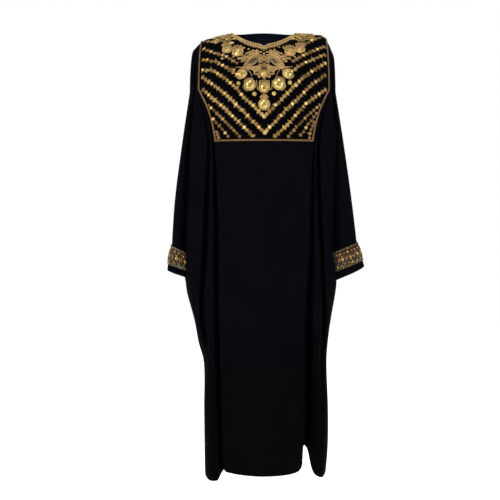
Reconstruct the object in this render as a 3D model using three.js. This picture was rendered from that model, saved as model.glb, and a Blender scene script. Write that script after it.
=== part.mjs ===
// A butterfly-cut abaya on an invisible figure: front and back panels cut in one with wide
// sleeves, turned-down cuffs with an applied braid band, and a yoke with raised chevron braid.
// Millimetres. X runs to the wearer's left, Y to the back, Z up. The origin lies on the
// shoulder line, midway between the two neck points, where the wearer carries the garment.
import * as THREE from "three";

// ---- driving dimensions -------------------------------------------------------------------
const CLOTH = 1.5; // wall of the crepe panels
const SEAM_GAP = 0.3; // between two pieces at a seam
const YOKE_CLOTH = 1.2;
const BRAID = { wide: 13, high: 2.2 }; // chevron rows
const CORD = { wide: 6.5, high: 3 }; // round the yoke
const NECK_TRIM = { drop: 0.042, high: 3.2 };
const NECK = { half: 102, front: 0.36, notch: 0.035, notchHalf: 14, back: 0.297 };
const SHOULDER = { yokeEdge: 199, backPanelEnd: 149, end: 225, neckSlope: 0.24 };
const RIDGES = {
  right: { slope: 0.235, round: 26, roundFrom: 180 },
  left: { slope: 0.06, round: 68, roundFrom: 180 },
};
const NECK_SHARE = NECK.half / SHOULDER.yokeEdge;
const NECK_RISE = 11.6; // how much higher the nape sits than the front would
const BUST_Z = -190;
const YOKE_Z = -356;
const CUFF_Z = -690; // where the underarm seam meets the cuff
const KNEE_Z = -1050; // below it the rows follow the uneven hem
const ROUNDNESS = 2.2; // superellipse power of the body sections

// Heights at which the sections and the folds are set.
const LEVELS = {
  bust: BUST_Z, under: -270, yoke: YOKE_Z, waist: -540, cuff: CUFF_Z, hip: -910, knee: KNEE_Z, hem: -1400,
};

// Body sections: the half width on each side, and how far the cloth stands out front and back.
const SECTIONS = [
  { z: -190, right: 214, left: 213, front: 148, back: 112 },
  { z: -270, right: 224, left: 220, front: 146, back: 108 },
  { z: -356, right: 231, left: 226, front: 142, back: 106 },
  { z: -540, right: 241, left: 221, front: 138, back: 116 },
  { z: -690, right: 252, left: 221, front: 140, back: 126 },
  { z: -740, right: 252.4, left: 227.4, front: 141, back: 128 },
  { z: -772, right: 252.6, left: 232, front: 141.6, back: 129.4 },
  { z: -795, right: 249, left: 233, front: 142, back: 130 },
  { z: -830, right: 244, left: 229, front: 143, back: 132 },
  { z: -910, right: 222, left: 215, front: 145, back: 134 },
  { z: -985, right: 208, left: 205, front: 147, back: 136 },
  { z: -1050, right: 191, left: 201, front: 150, back: 138 },
  { z: -1195, right: 190.4, left: 206, front: 154, back: 141 },
  { z: -1320, right: 189, left: 205, front: 157, back: 144 },
  { z: -1420, right: 187, left: 196, front: 158, back: 146 },
];

// Sleeves down to the cuff seam: the outer seam's half width, how far the sleeve is still open to
// the body at the crease beside it, its own bulge to the front and back, and the slope of its end.
const SLEEVES = [
  { z: -190, right: 236, left: 229, open: 62, bulgeRight: 14, bulgeLeft: 14, slopeRight: 0, slopeLeft: 0 },
  { z: -356, right: 260.6, left: 255.6, open: 62, bulgeRight: 24, bulgeLeft: 22, slopeRight: 0, slopeLeft: 0 },
  { z: -540, right: 283.6, left: 281, open: 42, bulgeRight: 38, bulgeLeft: 30, slopeRight: 8, slopeLeft: 12 },
  { z: -690, right: 293, left: 297, open: 3, bulgeRight: 46, bulgeLeft: 36, slopeRight: 22, slopeLeft: 30 },
];

// Cuffs, from the seam to the rim, by the share of their length: inner and outer reach, depth,
// the height at both ends, and how much lower the front hangs.
const CUFFS = {
  right: [
    { share: 0, inner: 252, outer: 293, deep: 46, zInner: -690, zOuter: -668, dip: 0 },
    { share: 0.07, inner: 254.6, outer: 294.4, deep: 46.5, zInner: -696, zOuter: -674, dip: 0.2 },
    { share: 0.17, inner: 254.8, outer: 296, deep: 47, zInner: -704, zOuter: -683, dip: 0.5 },
    { share: 0.5, inner: 254.8, outer: 303, deep: 48, zInner: -734, zOuter: -714, dip: 1.5 },
    { share: 1, inner: 255, outer: 308, deep: 49, zInner: -772, zOuter: -753, dip: 3 },
  ],
  left: [
    { share: 0, inner: 221, outer: 297, deep: 36, zInner: -690, zOuter: -660, dip: 0 },
    { share: 0.07, inner: 224.4, outer: 299.6, deep: 35.6, zInner: -696, zOuter: -666, dip: 0.4 },
    { share: 0.17, inner: 226.4, outer: 303, deep: 35, zInner: -705, zOuter: -675, dip: 1 },
    { share: 0.5, inner: 230, outer: 312, deep: 33, zInner: -736, zOuter: -704, dip: 3 },
    { share: 1, inner: 235, outer: 322, deep: 31, zInner: -779, zOuter: -741, dip: 6 },
  ],
};
const CUFF_BAND = { firstRing: 1, lastRing: 4, low: 0.3, high: 1.8 };

// Folds, one row for each long valley: its inner lip, half width and depth at each level.
const FOLDS = {
  front: {
    right: [
      {
        lip: [203, 170, 152, 141, 138, 136, 132, 119],
        half: [1.8, 3, 5, 9, 10, 10, 10, 12],
        deep: [0, 6, 22, 45, 55, 60, 60, 58],
      },
      {
        lip: [208.4, 184, 166, 168, 174, 180, 160, 152],
        half: [1.5, 3, 6, 9, 10, 11, 8, 8],
        deep: [0, 6, 16, 32, 40, 28, 0, 0],
      },
    ],
    left: [
      {
        lip: [203, 170, 152, 140, 137, 121, 119, 118],
        half: [1.8, 2.5, 4, 9, 11, 17, 18, 18],
        deep: [0, 0, 4, 25, 40, 60, 70, 72],
      },
      {
        lip: [208.4, 181, 162, 163, 170, 176, 172, 168],
        half: [1.5, 3, 7, 9, 10, 11, 9, 8],
        deep: [0, 8, 24, 42, 50, 35, 10, 0],
      },
    ],
  },
  back: {
    right: [
      {
        lip: [150, 120, 100, 84, 78, 72, 70, 66],
        half: [8, 10, 12, 15, 16, 18, 20, 22],
        deep: [0, 4, 10, 22, 28, 34, 36, 38],
      },
      {
        lip: [196, 180, 166, 150, 146, 143, 134, 126],
        half: [4, 5, 8, 11, 12, 13, 12, 13],
        deep: [0, 8, 20, 38, 46, 46, 40, 36],
      },
    ],
    left: [
      {
        lip: [152, 126, 108, 96, 92, 88, 84, 78],
        half: [8, 10, 12, 14, 16, 17, 19, 21],
        deep: [0, 5, 12, 24, 30, 36, 38, 40],
      },
      {
        lip: [196, 178, 162, 148, 142, 138, 140, 138],
        half: [4, 5, 8, 11, 12, 14, 13, 13],
        deep: [0, 8, 20, 36, 44, 48, 44, 40],
      },
    ],
  },
};

// The hem's height across the front and the back.
const HEM = {
  front: [
    { x: -188, z: -1402 }, { x: -168, z: -1413 }, { x: -143, z: -1402 }, { x: -126, z: -1376 },
    { x: -113, z: -1377 }, { x: -70, z: -1382 }, { x: 0, z: -1385 }, { x: 72, z: -1381 },
    { x: 103, z: -1372 }, { x: 115, z: -1350 }, { x: 127, z: -1300 }, { x: 147, z: -1378 },
    { x: 172, z: -1400 }, { x: 184, z: -1404 }, { x: 196, z: -1396 },
  ],
  back: [
    { x: -188, z: -1402 }, { x: -168, z: -1410 }, { x: -139, z: -1388 }, { x: -110, z: -1398 },
    { x: -86, z: -1390 }, { x: 0, z: -1402 }, { x: 96, z: -1384 }, { x: 119, z: -1366 },
    { x: 137, z: -1326 }, { x: 153, z: -1338 }, { x: 176, z: -1392 }, { x: 196, z: -1396 },
  ],
};

// Chevron braid rows, from the yoke's edge towards the centre line, and how far each sinks into
// the slack of the yoke's facets.
const CHEVRONS = [
  { sink: 0.5, right: [[189, -28], [150, -37]], left: [[189, -13], [162, -26], [128, -45]] },
  { sink: 0.3, right: [[189, -60], [151, -78], [123, -86], [84, -114]], left: [[189, -52], [119, -88], [90, -107]] },
  { sink: 0, right: [[189, -97], [151, -105], [131, -118], [84, -151]], left: [[189, -81], [126, -112], [84, -141]] },
  {
    sink: 0,
    right: [[189, -131], [159, -135], [127, -158], [89, -190], [64, -221], [31, -251], [8, -274]],
    left: [[189, -110], [125, -155], [98, -182], [31, -251], [8, -274]],
  },
  { sink: 0, right: [[190, -155], [128, -203], [62, -267], [8, -323]], left: [[189, -149], [142, -185], [92, -237], [8, -323]] },
  { sink: 0, right: [[189, -195], [130, -247], [67, -308], [36, -341]], left: [[189, -194], [128, -241], [72, -305], [34, -341]] },
  { sink: 0, right: [[176, -238], [108, -308], [75, -341]], left: [[182, -233], [125, -285], [74, -341]] },
  { sink: 0, right: [[166, -275], [111, -341]], left: [[170, -258], [112, -337], [109, -341]] },
];
const CHEVRON_STEP = 16;
const STONE_CLEARANCE = 2.5;

// Stones in round settings: one centre row, and pairs that are mirrored.
const STONES = [
  { name: "pendant", x: 0, z: -244, r: 17 },
  { name: "centre", x: 0, z: -193, r: 15.5 },
  { name: "inner_right", x: -44, z: -184, r: 17 },
  { name: "inner_left", x: 45, z: -181, r: 18 },
  { name: "outer_right", x: -69, z: -149, r: 15 },
  { name: "outer_left", x: 73, z: -148, r: 15.5 },
  { name: "collar_right", x: -82, z: -73, r: 16.5 },
  { name: "collar_left", x: 81, z: -73, r: 16 },
  { name: "shoulder_right", x: -115, z: -62, r: 15 },
  { name: "shoulder_left", x: 113, z: -63, r: 15 },
];
const PALMETTE = { x: 0, z: -122, wide: 104, tall: 80, lobes: 7, scallop: 0.1 };
const LEAF = { x: 69, z: -108, wide: 7, tall: 13, lean: -1.1 };

// ---- small helpers ------------------------------------------------------------------------
const V = (x, y, z) => new THREE.Vector3(x, y, z);
const clamp = (value, low, high) => Math.min(high, Math.max(low, value));

// A smooth curve through (at, value) pairs, with at falling or rising.
function curve(at, values) {
  const rising = at[0] < at[at.length - 1];
  const t = rising ? at : [...at].reverse();
  const v = rising ? values : [...values].reverse();
  const slope = v.map((_, i) => {
    const a = Math.max(0, i - 1);
    const b = Math.min(v.length - 1, i + 1);
    return (v[b] - v[a]) / (t[b] - t[a]);
  });
  return (x) => {
    if (x <= t[0]) return v[0];
    if (x >= t[t.length - 1]) return v[v.length - 1];
    const i = t.findIndex((_, k) => x < t[k + 1]);
    const h = t[i + 1] - t[i];
    const s = (x - t[i]) / h;
    const s2 = s * s;
    const s3 = s2 * s;
    return (
      (2 * s3 - 3 * s2 + 1) * v[i] + (s3 - 2 * s2 + s) * h * slope[i] +
      (3 * s2 - 2 * s3) * v[i + 1] + (s3 - s2) * h * slope[i + 1]
    );
  };
}
const column = (table, key, at = "z") => curve(table.map((r) => r[at]), table.map((r) => r[key]));

const levels = Object.values(LEVELS);
const body = Object.fromEntries(["right", "left", "front", "back"].map((k) => [k, column(SECTIONS, k)]));
const sleeve = Object.fromEntries(Object.keys(SLEEVES[0]).slice(1).map((k) => [k, column(SLEEVES, k)]));
const levelCurve = (values) => curve(levels, values);
const foldCurves = (rows) =>
  rows.map((f) => ({ lip: levelCurve(f.lip), half: levelCurve(f.half), deep: levelCurve(f.deep) }));
const bothSides = ({ right, left }) => ({ right: foldCurves(right), left: foldCurves(left) });
const folds = { front: bothSides(FOLDS.front), back: bothSides(FOLDS.back) };
const hem = { front: column(HEM.front, "z", "x"), back: column(HEM.back, "z", "x") };
const sideName = (side) => (side < 0 ? "right" : "left");
const sideKey = (key, side) => key + (side < 0 ? "Right" : "Left");

// ---- the cloth surface --------------------------------------------------------------------
// Stations across half a panel, from the centre out: the flat middle, the two folds, the wing,
// the turn at its edge, and the sleeve. A station is { part, share } with share from 0 to 1.
const PANEL_SHARES = [0.1, 0.21, 0.32, 0.42, 0.5126, 0.66, 0.83, 1];
const BACK_SHARES = [0.22, 0.44, 0.68, 1];
const FOLD_SHARES = [0.25, 0.5, 0.75, 1];
const EDGE_SHARES = [0.4, 0.75, 0.93, 1];
const SLEEVE_SHARES = [0.22, 0.45, 0.72, 1];
const tagged = (part, shares) => shares.map((share) => ({ part, share }));
const halfStations = (panelShares) => [
  ...tagged("panel", panelShares),
  ...tagged("fold0", FOLD_SHARES),
  ...tagged("ridge", [1]),
  ...tagged("fold1", FOLD_SHARES),
  ...tagged("edge", EDGE_SHARES),
  ...tagged("sleeve", SLEEVE_SHARES),
];
function stationsAcross(panelShares) {
  const half = halfStations(panelShares);
  const right = half.map((s) => ({ ...s, side: -1 })).reverse();
  return [...right, { part: "panel", share: 0, side: 1 }, ...half.map((s) => ({ ...s, side: 1 }))];
}

// The depth of a body section at x, before its folds.
function bodyDepth(face, side, x, z) {
  const name = sideName(side);
  const edge = body[name](z);
  const open = z >= CUFF_Z ? sleeve.open(z) : 0;
  const share = Math.min(1, Math.abs(x) / edge);
  return open + (body[face](z) - open) * (1 - share ** ROUNDNESS) ** (1 / ROUNDNESS);
}

// How far a fold pushes the cloth in, with share 0 and 1 at its lips.
const foldShape = (share) => Math.sin(Math.PI * share) ** 1.6;

// The panel's point at a station and a height, on the outside of the cloth.
function sectionPoint(face, station, z) {
  const { part, share, side } = station;
  const name = sideName(side);
  const [inner, outer] = folds[face][name];
  const edge = body[name](z);
  const toward = face === "front" ? -1 : 1;
  if (part === "sleeve") {
    const open = sleeve.open(z);
    const reach = sleeve[name](z);
    const bulge = sleeve[sideKey("bulge", side)](z);
    const closing = 1 - clamp(open / SLEEVES[0].open, 0, 1);
    const halfRing = Math.sin((Math.PI / 2) * share);
    const fullRing = (1 - Math.cos(Math.PI * share)) / 2;
    const over = halfRing + (fullRing - halfRing) * closing;
    const deep = open * Math.cos((Math.PI / 2) * share) + bulge * Math.sin(Math.PI * share);
    const lift = over * sleeve[sideKey("slope", side)](z);
    return V(side * (edge + (reach - edge) * over), toward * Math.max(deep, SEAM_GAP / 2), z + lift);
  }
  const innerEnd = inner.lip(z) + 2 * inner.half(z);
  const outerEnd = outer.lip(z) + 2 * outer.half(z);
  let x = 0;
  let push = 0;
  if (part === "panel") x = inner.lip(z) * share;
  if (part === "fold0") {
    x = inner.lip(z) + 2 * inner.half(z) * share;
    push = inner.deep(z) * foldShape(share);
  }
  if (part === "ridge") x = innerEnd + (outer.lip(z) - innerEnd) * share;
  if (part === "fold1") {
    x = outer.lip(z) + 2 * outer.half(z) * share;
    push = outer.deep(z) * foldShape(share);
  }
  if (part === "edge") x = outerEnd + (edge - outerEnd) * share;
  const deep = bodyDepth(face, side, x, z) - push;
  return V(side * x, toward * Math.max(deep, SEAM_GAP / 2), z);
}

// The shoulder's ridge line, carried on over the neck as the cap that the neckline is cut from.
function ridgeHeight(face, x) {
  const over = Math.abs(x);
  if (over < NECK.half) {
    const cap = (SHOULDER.neckSlope * (NECK.half ** 2 - over ** 2)) / (2 * NECK.half);
    return cap + (face === "back" ? NECK_RISE * (1 - (over / NECK.half) ** 2) ** 2 : 0);
  }
  const { slope, round, roundFrom } = RIDGES[sideName(x)];
  const past = Math.max(0, over - roundFrom) / (SHOULDER.end - roundFrom);
  return -slope * (over - NECK.half) - round * past ** 2;
}

// Where the neckline lies on the dome of the shoulders, from 0 at the ridge to 1 at the bust.
function neckline(face, x) {
  const over = Math.abs(x) / NECK.half;
  if (over >= 1) return 0;
  if (face === "back") return NECK.back * (1 - over ** 2) ** 0.6;
  return NECK.front * (1 - over ** 2) ** 0.75 + NECK.notch * Math.max(0, 1 - Math.abs(x) / NECK.notchHalf);
}

// Across the shoulder, each station's place on the ridge.
function ridgePlace(face, station, order) {
  const { part, share, side } = station;
  const panelEnd = face === "front" ? SHOULDER.yokeEdge : SHOULDER.backPanelEnd;
  if (part === "panel") return side * panelEnd * share;
  return side * (panelEnd + (SHOULDER.end - panelEnd) * order);
}

// A point of the dome between the shoulder ridge and the bust, with drop from 0 to 1.
function domePoint(face, station, order, drop) {
  const low = sectionPoint(face, station, BUST_Z);
  const xTop = ridgePlace(face, station, order);
  const zTop = ridgeHeight(face, xTop);
  const start = neckline(face, xTop);
  const turn = (Math.PI / 2) * (start + (1 - start) * drop);
  const outward = Math.abs(xTop) / SHOULDER.end;
  const power = face === "front" ? 0.65 + 0.25 * outward ** 3 : 1.3 - 0.4 * outward ** 2;
  const y = low.y * Math.sin(turn);
  return V(
    xTop + (low.x - xTop) * Math.sin(turn),
    face === "front" ? Math.min(y, -SEAM_GAP / 2) : Math.max(y, SEAM_GAP / 2),
    zTop + (BUST_Z - zTop) * (1 - Math.cos(turn)) ** power,
  );
}

const DROPS = [0, 0.14, 0.29, 0.44, 0.6, 0.79];
const ROWS = {
  front: [-190, -230, -270, -312, -356, -420, -500, -580, -640, -690, -740, -790, -850, -930, -1050],
  back: [-190, -270, -356, -460, -570, -640, -690, -740, -790, -850, -930, -1050],
};
const HEM_SHARES = { front: [0.35, 0.72, 1], back: [0.5, 1] };

// The whole panel as rows of points, with the cells that are cloth.
function panelGrid(face, stations) {
  const beyond = stations.filter((s) => s.side > 0 && s.part !== "panel").length;
  const orderOf = (s, i) => {
    if (s.part === "panel") return 0;
    const fromEnd = s.side < 0 ? i : stations.length - 1 - i;
    return 1 - fromEnd / beyond;
  };
  const rows = [];
  for (const drop of DROPS) rows.push(stations.map((s, i) => domePoint(face, s, orderOf(s, i), drop)));
  for (const z of ROWS[face]) {
    rows.push(stations.map((s) => sectionPoint(face, s, s.part === "sleeve" ? Math.max(z, CUFF_Z) : z)));
  }
  for (const share of HEM_SHARES[face]) {
    rows.push(
      stations.map((s) => {
        if (s.part === "sleeve") return V(0, 0, 0);
        const bottom = hem[face](sectionPoint(face, s, LEVELS.hem).x);
        return sectionPoint(face, s, KNEE_Z + (bottom - KNEE_Z) * share);
      }),
    );
  }
  const cuffRow = DROPS.length + ROWS[face].indexOf(CUFF_Z);
  const isSleeve = (c) => stations[c].part === "sleeve" || stations[c + 1].part === "sleeve";
  const isCloth = (r, c) => r < cuffRow || !isSleeve(c);
  return { rows, isCloth, cuffRow, stations };
}

// ---- walls --------------------------------------------------------------------------------
// Vertex normals of a grid of points, facing away from the wearer.
function gridNormals(rows, isCloth, closed, flip) {
  const n = rows.map((row) => row.map(() => V(0, 0, 0)));
  const width = rows[0].length;
  const across = closed ? width : width - 1;
  for (let r = 0; r < rows.length - 1; r++) {
    for (let c = 0; c < across; c++) {
      if (!isCloth(r, c)) continue;
      const d = (c + 1) % width;
      const a = rows[r + 1][d].clone().sub(rows[r][c]);
      const b = rows[r + 1][c].clone().sub(rows[r][d]);
      const face = b.cross(a).multiplyScalar(flip);
      for (const [i, j] of [[r, c], [r, d], [r + 1, c], [r + 1, d]]) n[i][j].add(face);
    }
  }
  n.forEach((row) => row.forEach((v) => v.normalize()));
  return n;
}

// A closed wall between two offsets of a grid of points, along its normals.
function shell(rows, normals, low, high, { isCloth = () => true, closed = false, flip = 1 } = {}) {
  const width = rows[0].length;
  const across = closed ? width : width - 1;
  const position = [];
  const used = new Map();
  const vertex = (r, c, layer) => {
    const key = (r * width + (c % width)) * 2 + layer;
    if (!used.has(key)) {
      const offset = layer ? high : low;
      const p = rows[r][c % width].clone().addScaledVector(normals[r][c % width], offset);
      used.set(key, position.length / 3);
      position.push(p.x, p.y, p.z);
    }
    return used.get(key);
  };
  const index = [];
  const quad = (a, b, c, d) => (flip > 0 ? index.push(a, b, c, a, c, d) : index.push(a, c, b, a, d, c));
  const live = (r, c) => {
    if (r < 0 || r >= rows.length - 1) return false;
    if (!closed && (c < 0 || c >= across)) return false;
    return isCloth(r, (c + across) % across);
  };
  const rim = (a, b) => quad(vertex(...a, 1), vertex(...a, 0), vertex(...b, 0), vertex(...b, 1));
  for (let r = 0; r < rows.length - 1; r++) {
    for (let c = 0; c < across; c++) {
      if (!live(r, c)) continue;
      quad(vertex(r, c, 1), vertex(r + 1, c, 1), vertex(r + 1, c + 1, 1), vertex(r, c + 1, 1));
      quad(vertex(r, c, 0), vertex(r, c + 1, 0), vertex(r + 1, c + 1, 0), vertex(r + 1, c, 0));
      if (!live(r - 1, c)) rim([r, c + 1], [r, c]);
      if (!live(r + 1, c)) rim([r + 1, c], [r + 1, c + 1]);
      if (!live(r, c - 1)) rim([r, c], [r + 1, c]);
      if (!live(r, c + 1)) rim([r + 1, c + 1], [r, c + 1]);
    }
  }
  const geometry = new THREE.BufferGeometry();
  geometry.setAttribute("position", new THREE.Float32BufferAttribute(position, 3));
  geometry.setIndex(index);
  geometry.computeVertexNormals();
  return geometry;
}

const CREASE_ROWS = 4; // above the cuff, where the crease beside the sleeve is sharp
const flatten = (n, axis) => n.setComponent(axis, 0).normalize();

function bodyPanel(face) {
  const stations = stationsAcross(face === "front" ? PANEL_SHARES : BACK_SHARES);
  const grid = panelGrid(face, stations);
  const flip = face === "front" ? 1 : -1;
  const normals = gridNormals(grid.rows, grid.isCloth, false, flip);
  const last = stations.length - 1;
  const firstBody = SLEEVE_SHARES.length;
  grid.rows.forEach((row, r) => {
    // At a seam the wall ends in the seam's own plane.
    const ends = r <= grid.cuffRow ? [0, last] : [firstBody, last - firstBody];
    for (const c of ends) flatten(normals[r][c], 1);
    // In the sharp crease beside the sleeve it goes straight in.
    const creased = r <= grid.cuffRow && r > grid.cuffRow - CREASE_ROWS;
    for (const c of creased ? [firstBody, last - firstBody] : []) normals[r][c].set(0, -flip, 0);
  });
  grid.rows[0].forEach((p, c) => {
    if (Math.abs(p.x) >= NECK.half - 1) flatten(normals[0][c], 1);
  });
  return { ...grid, normals, flip };
}

const front = bodyPanel("front");
const back = bodyPanel("back");

// The yoke's part of the front grid: the middle panel from the shoulder to the yoke's hem.
const yokeRows = DROPS.length + ROWS.front.indexOf(YOKE_Z) + 1;
const centre = (front.stations.length - 1) / 2;
const yokeHalf = PANEL_SHARES.length;
const yokeSlice = (rows) =>
  rows.slice(0, yokeRows).map((row) => row.slice(centre - yokeHalf, centre + yokeHalf + 1));
const YOKE_LOW = SEAM_GAP;
const YOKE_HIGH = SEAM_GAP + YOKE_CLOTH;

// ---- places on the chest ------------------------------------------------------------------
// A chest point for a share of the panel's half width and a drop, which passes 1 at the bust.
function chestAt(share, drop) {
  const station = { part: "panel", share: Math.abs(share), side: share < 0 ? -1 : 1 };
  if (drop <= 1) {
    const xTop = ridgePlace("front", station, 0);
    const start = neckline("front", xTop);
    return domePoint("front", station, 0, Math.max(0, (drop - start) / (1 - start)));
  }
  return sectionPoint("front", station, BUST_Z + (drop - 1) * (YOKE_Z - BUST_Z));
}

// The chest point that stands at x and z in front view, with its outward normal.
const CHEST_STEP = 0.02;
function onChest(x, z) {
  let share = x / SHOULDER.yokeEdge;
  let drop = 0;
  for (let pass = 0; pass < 5; pass++) {
    drop = dropAt(share, z);
    share = clamp(share + (x - chestAt(share, drop).x) / SHOULDER.yokeEdge, -1, 1);
  }
  const across = chestAt(share + CHEST_STEP, drop).sub(chestAt(share - CHEST_STEP, drop));
  const down = chestAt(share, drop + CHEST_STEP).sub(chestAt(share, Math.max(0, drop - CHEST_STEP)));
  return { p: chestAt(share, drop), n: down.cross(across).normalize() };
}
function dropAt(share, z) {
  let [low, high] = [0, 2.2];
  for (let step = 0; step < 24; step++) {
    const mid = (low + high) / 2;
    if (chestAt(share, mid).z > z) low = mid;
    else high = mid;
  }
  return low;
}
const yokeEdge = (z) => chestAt(1, dropAt(1, z)).x;
const moved = (spot, height) => spot.p.clone().addScaledVector(spot.n, height);

// A solid between a base grid and a top grid of the same size.
function loft(base, top) {
  const across = base.map((row, r) => row.map((p, c) => top[r][c].clone().sub(p)));
  return shell(base, across, 0, 1);
}

// A strip of braid or cord with a raised middle, along a path of x and z in front view.
const CROWN = 0.45;
function strip(path, size, sink = 0) {
  const spots = path.map(([x, z], i) => {
    const a = path[Math.max(0, i - 1)];
    const b = path[Math.min(path.length - 1, i + 1)];
    const length = Math.hypot(b[0] - a[0], b[1] - a[1]);
    const side = [-(b[1] - a[1]) / length, (b[0] - a[0]) / length];
    return [-0.5, 0, 0.5].map((o) => onChest(x + side[0] * o * size.wide, z + side[1] * o * size.wide));
  });
  const heights = [size.high * CROWN, size.high, size.high * CROWN];
  return loft(
    spots.map((row) => row.map((s) => moved(s, TRIM_LOW - sink))),
    spots.map((row) => row.map((s, c) => moved(s, TRIM_LOW + heights[c]))),
  );
}
const TRIM_LOW = YOKE_HIGH + 1; // clear of the yoke's flat facets

function chevron(row, side) {
  const points = row[sideName(side)];
  const height = curve(points.map(([x]) => x), points.map(([, z]) => z));
  const inset = CORD.wide + BRAID.wide / 2 + 1.5;
  const lowest = YOKE_Z + CORD.wide + BRAID.wide / 2 + 1.5;
  const clear = (x, z, stone) => Math.hypot(x - stone.x, z - stone.z) > stone.r + BRAID.wide / 2 + STONE_CLEARANCE;
  const inside = (x) => {
    const z = height(x);
    const onYoke = x < yokeEdge(z) - inset && z < ridgeHeight("front", side * x) - BRAID.wide / 2;
    return onYoke && z > lowest && STONES.every((stone) => clear(side * x, z, stone));
  };
  let [from, to] = [points[points.length - 1][0], points[0][0]];
  while (!inside(from)) from += 0.5;
  while (!inside(to)) to -= 0.5;
  const steps = Math.max(2, Math.ceil((to - from) / CHEVRON_STEP));
  const path = Array.from({ length: steps + 1 }, (_, i) => {
    const x = from + ((to - from) * i) / steps;
    return [side * x, height(x)];
  });
  return strip(path, BRAID, row.sink);
}

// Down one side of the yoke and along its hem, in one piece with square corners.
const CORD_DROPS = [0.06, 0.2, 0.36, 0.52, 0.68, 0.84, 1, 1.25, 1.5, 1.75];
function yokeCord() {
  const inset = CORD.wide / 2 + 0.5;
  const side = CORD_DROPS.map((drop) => chestAt(1, drop)).map((p) => [p.x - inset, p.z]);
  const bottom = YOKE_Z + inset;
  const corner = [yokeEdge(bottom) - inset, bottom];
  const right = side.map(([x, z]) => [-x, z]);
  const hemLine = Array.from({ length: 13 }, (_, i) => [corner[0] * (i / 6 - 1), bottom]);
  return strip([...right, ...hemLine, ...side.reverse()], CORD);
}

// Round the front of the neck opening, from one shoulder seam to the other.
const NECK_STEPS = 28;
function neckTrim() {
  const shares = Array.from({ length: NECK_STEPS + 1 }, (_, i) => NECK_SHARE * ((2 * i) / NECK_STEPS - 1));
  const across = [0.002, 0.5, 1].map((k) => k * NECK_TRIM.drop);
  const heights = [NECK_TRIM.high * CROWN, NECK_TRIM.high, NECK_TRIM.high * CROWN];
  const spotAt = (share, k) => {
    const start = neckline("front", share * SHOULDER.yokeEdge);
    const p = chestAt(share, start + k);
    const next = chestAt(share, start + k + CHEST_STEP);
    const side = chestAt(share + CHEST_STEP, start + k).sub(chestAt(share - CHEST_STEP, start + k));
    return { p, n: next.sub(p).cross(side).normalize() };
  };
  const rows = across.map((k) => shares.map((share) => spotAt(share, k)));
  return loft(
    rows.map((row) => row.map((s) => moved(s, TRIM_LOW))),
    rows.map((row, r) => row.map((s) => moved(s, TRIM_LOW + heights[r]))),
  );
}

// A raised ornament on the chest: a turned profile of radius shares and heights, with its
// outline in front view given by a function of the angle.
function boss(x, z, profile, sides, outline) {
  const points = profile.map(([share, height]) => new THREE.Vector2(share, height));
  const turned = new THREE.LatheGeometry(points, sides);
  const at = turned.getAttribute("position");
  for (let i = 0; i < at.count; i++) {
    const share = Math.hypot(at.getX(i), at.getZ(i));
    const angle = Math.atan2(at.getZ(i), at.getX(i));
    const [dx, dz] = outline(angle).map((reach) => reach * share);
    const p = moved(onChest(x + dx, z + dz), TRIM_LOW + at.getY(i));
    at.setXYZ(i, p.x, p.y, p.z);
  }
  return turned;
}
const disc = (r) => (angle) => [r * Math.cos(angle), -r * Math.sin(angle)];
const STONE_PROFILE = [[0, 0], [1, 0], [1, 3], [0.72, 4.4], [0.4, 7.2], [0, 8.2]];
const LEAF_PROFILE = [[0, -0.7], [1, -0.7], [0.86, 2.8], [0, 4.4]]; // it sinks into the slack of the facets
const PALMETTE_PROFILE = [
  [0, 0], [0.35, 0], [0.7, 0], [1, 0], [0.94, 2.6], [0.62, 3.4], [0.3, 3.4], [0, 3.4],
];
const palmetteOutline = (angle) => {
  const reach = 1 + PALMETTE.scallop * Math.cos(PALMETTE.lobes * (angle + Math.PI / 2));
  return [(PALMETTE.wide / 2) * reach * Math.cos(angle), -(PALMETTE.tall / 2) * reach * Math.sin(angle)];
};
const leafOutline = (side) => (angle) => {
  const u = LEAF.wide * Math.cos(angle) * Math.abs(Math.cos(angle)) ** 0.3;
  const v = -LEAF.tall * Math.sin(angle);
  const lean = side * LEAF.lean;
  return [u * Math.cos(lean) - v * Math.sin(lean), u * Math.sin(lean) + v * Math.cos(lean)];
};

// ---- cuffs --------------------------------------------------------------------------------
// Rings of points round a cuff, at shares of its length from seam to rim.
const CUFF_COLUMNS = 16;
const CUFF_SHARES = [0, 0.07, 0.3, 0.52, 0.74, 1];
function cuffRings(side, shares) {
  const rings = CUFFS[sideName(side)];
  const size = Object.fromEntries(Object.keys(rings[0]).map((k) => [k, column(rings, k, "share")]));
  return shares.map((share) =>
    Array.from({ length: CUFF_COLUMNS }, (_, i) => {
      const angle = (2 * Math.PI * i) / CUFF_COLUMNS;
      const across = (1 - Math.cos(angle)) / 2;
      const x = size.inner(share) + (size.outer(share) - size.inner(share)) * across;
      const z = size.zInner(share) + (size.zOuter(share) - size.zInner(share)) * across;
      const dip = size.dip(share) * Math.sin(angle);
      return V(side * x, -size.deep(share) * Math.sin(angle), z - dip - 2 * SEAM_GAP);
    }),
  );
}
function cuffWall(side, first, last, low, high) {
  const rings = cuffRings(side, CUFF_SHARES);
  const normals = gridNormals(rings, () => true, true, side);
  const look = { closed: true, flip: side };
  return shell(rings.slice(first, last + 1), normals.slice(first, last + 1), low, high, look);
}

// ---- assembly -----------------------------------------------------------------------------
const MATERIALS = {
  crepe: new THREE.MeshStandardMaterial({ color: 0x0b0c12, roughness: 0.75, metalness: 0 }),
  velvet: new THREE.MeshStandardMaterial({ color: 0x050507, roughness: 0.95, metalness: 0 }),
  braid: new THREE.MeshStandardMaterial({ color: 0xb58a45, roughness: 0.45, metalness: 0.6 }),
  stone: new THREE.MeshStandardMaterial({ color: 0xd8b85a, roughness: 0.2, metalness: 0.5 }),
  trellis: new THREE.MeshStandardMaterial({ color: 0xa9a38f, roughness: 0.5, metalness: 0.4 }),
};

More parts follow.
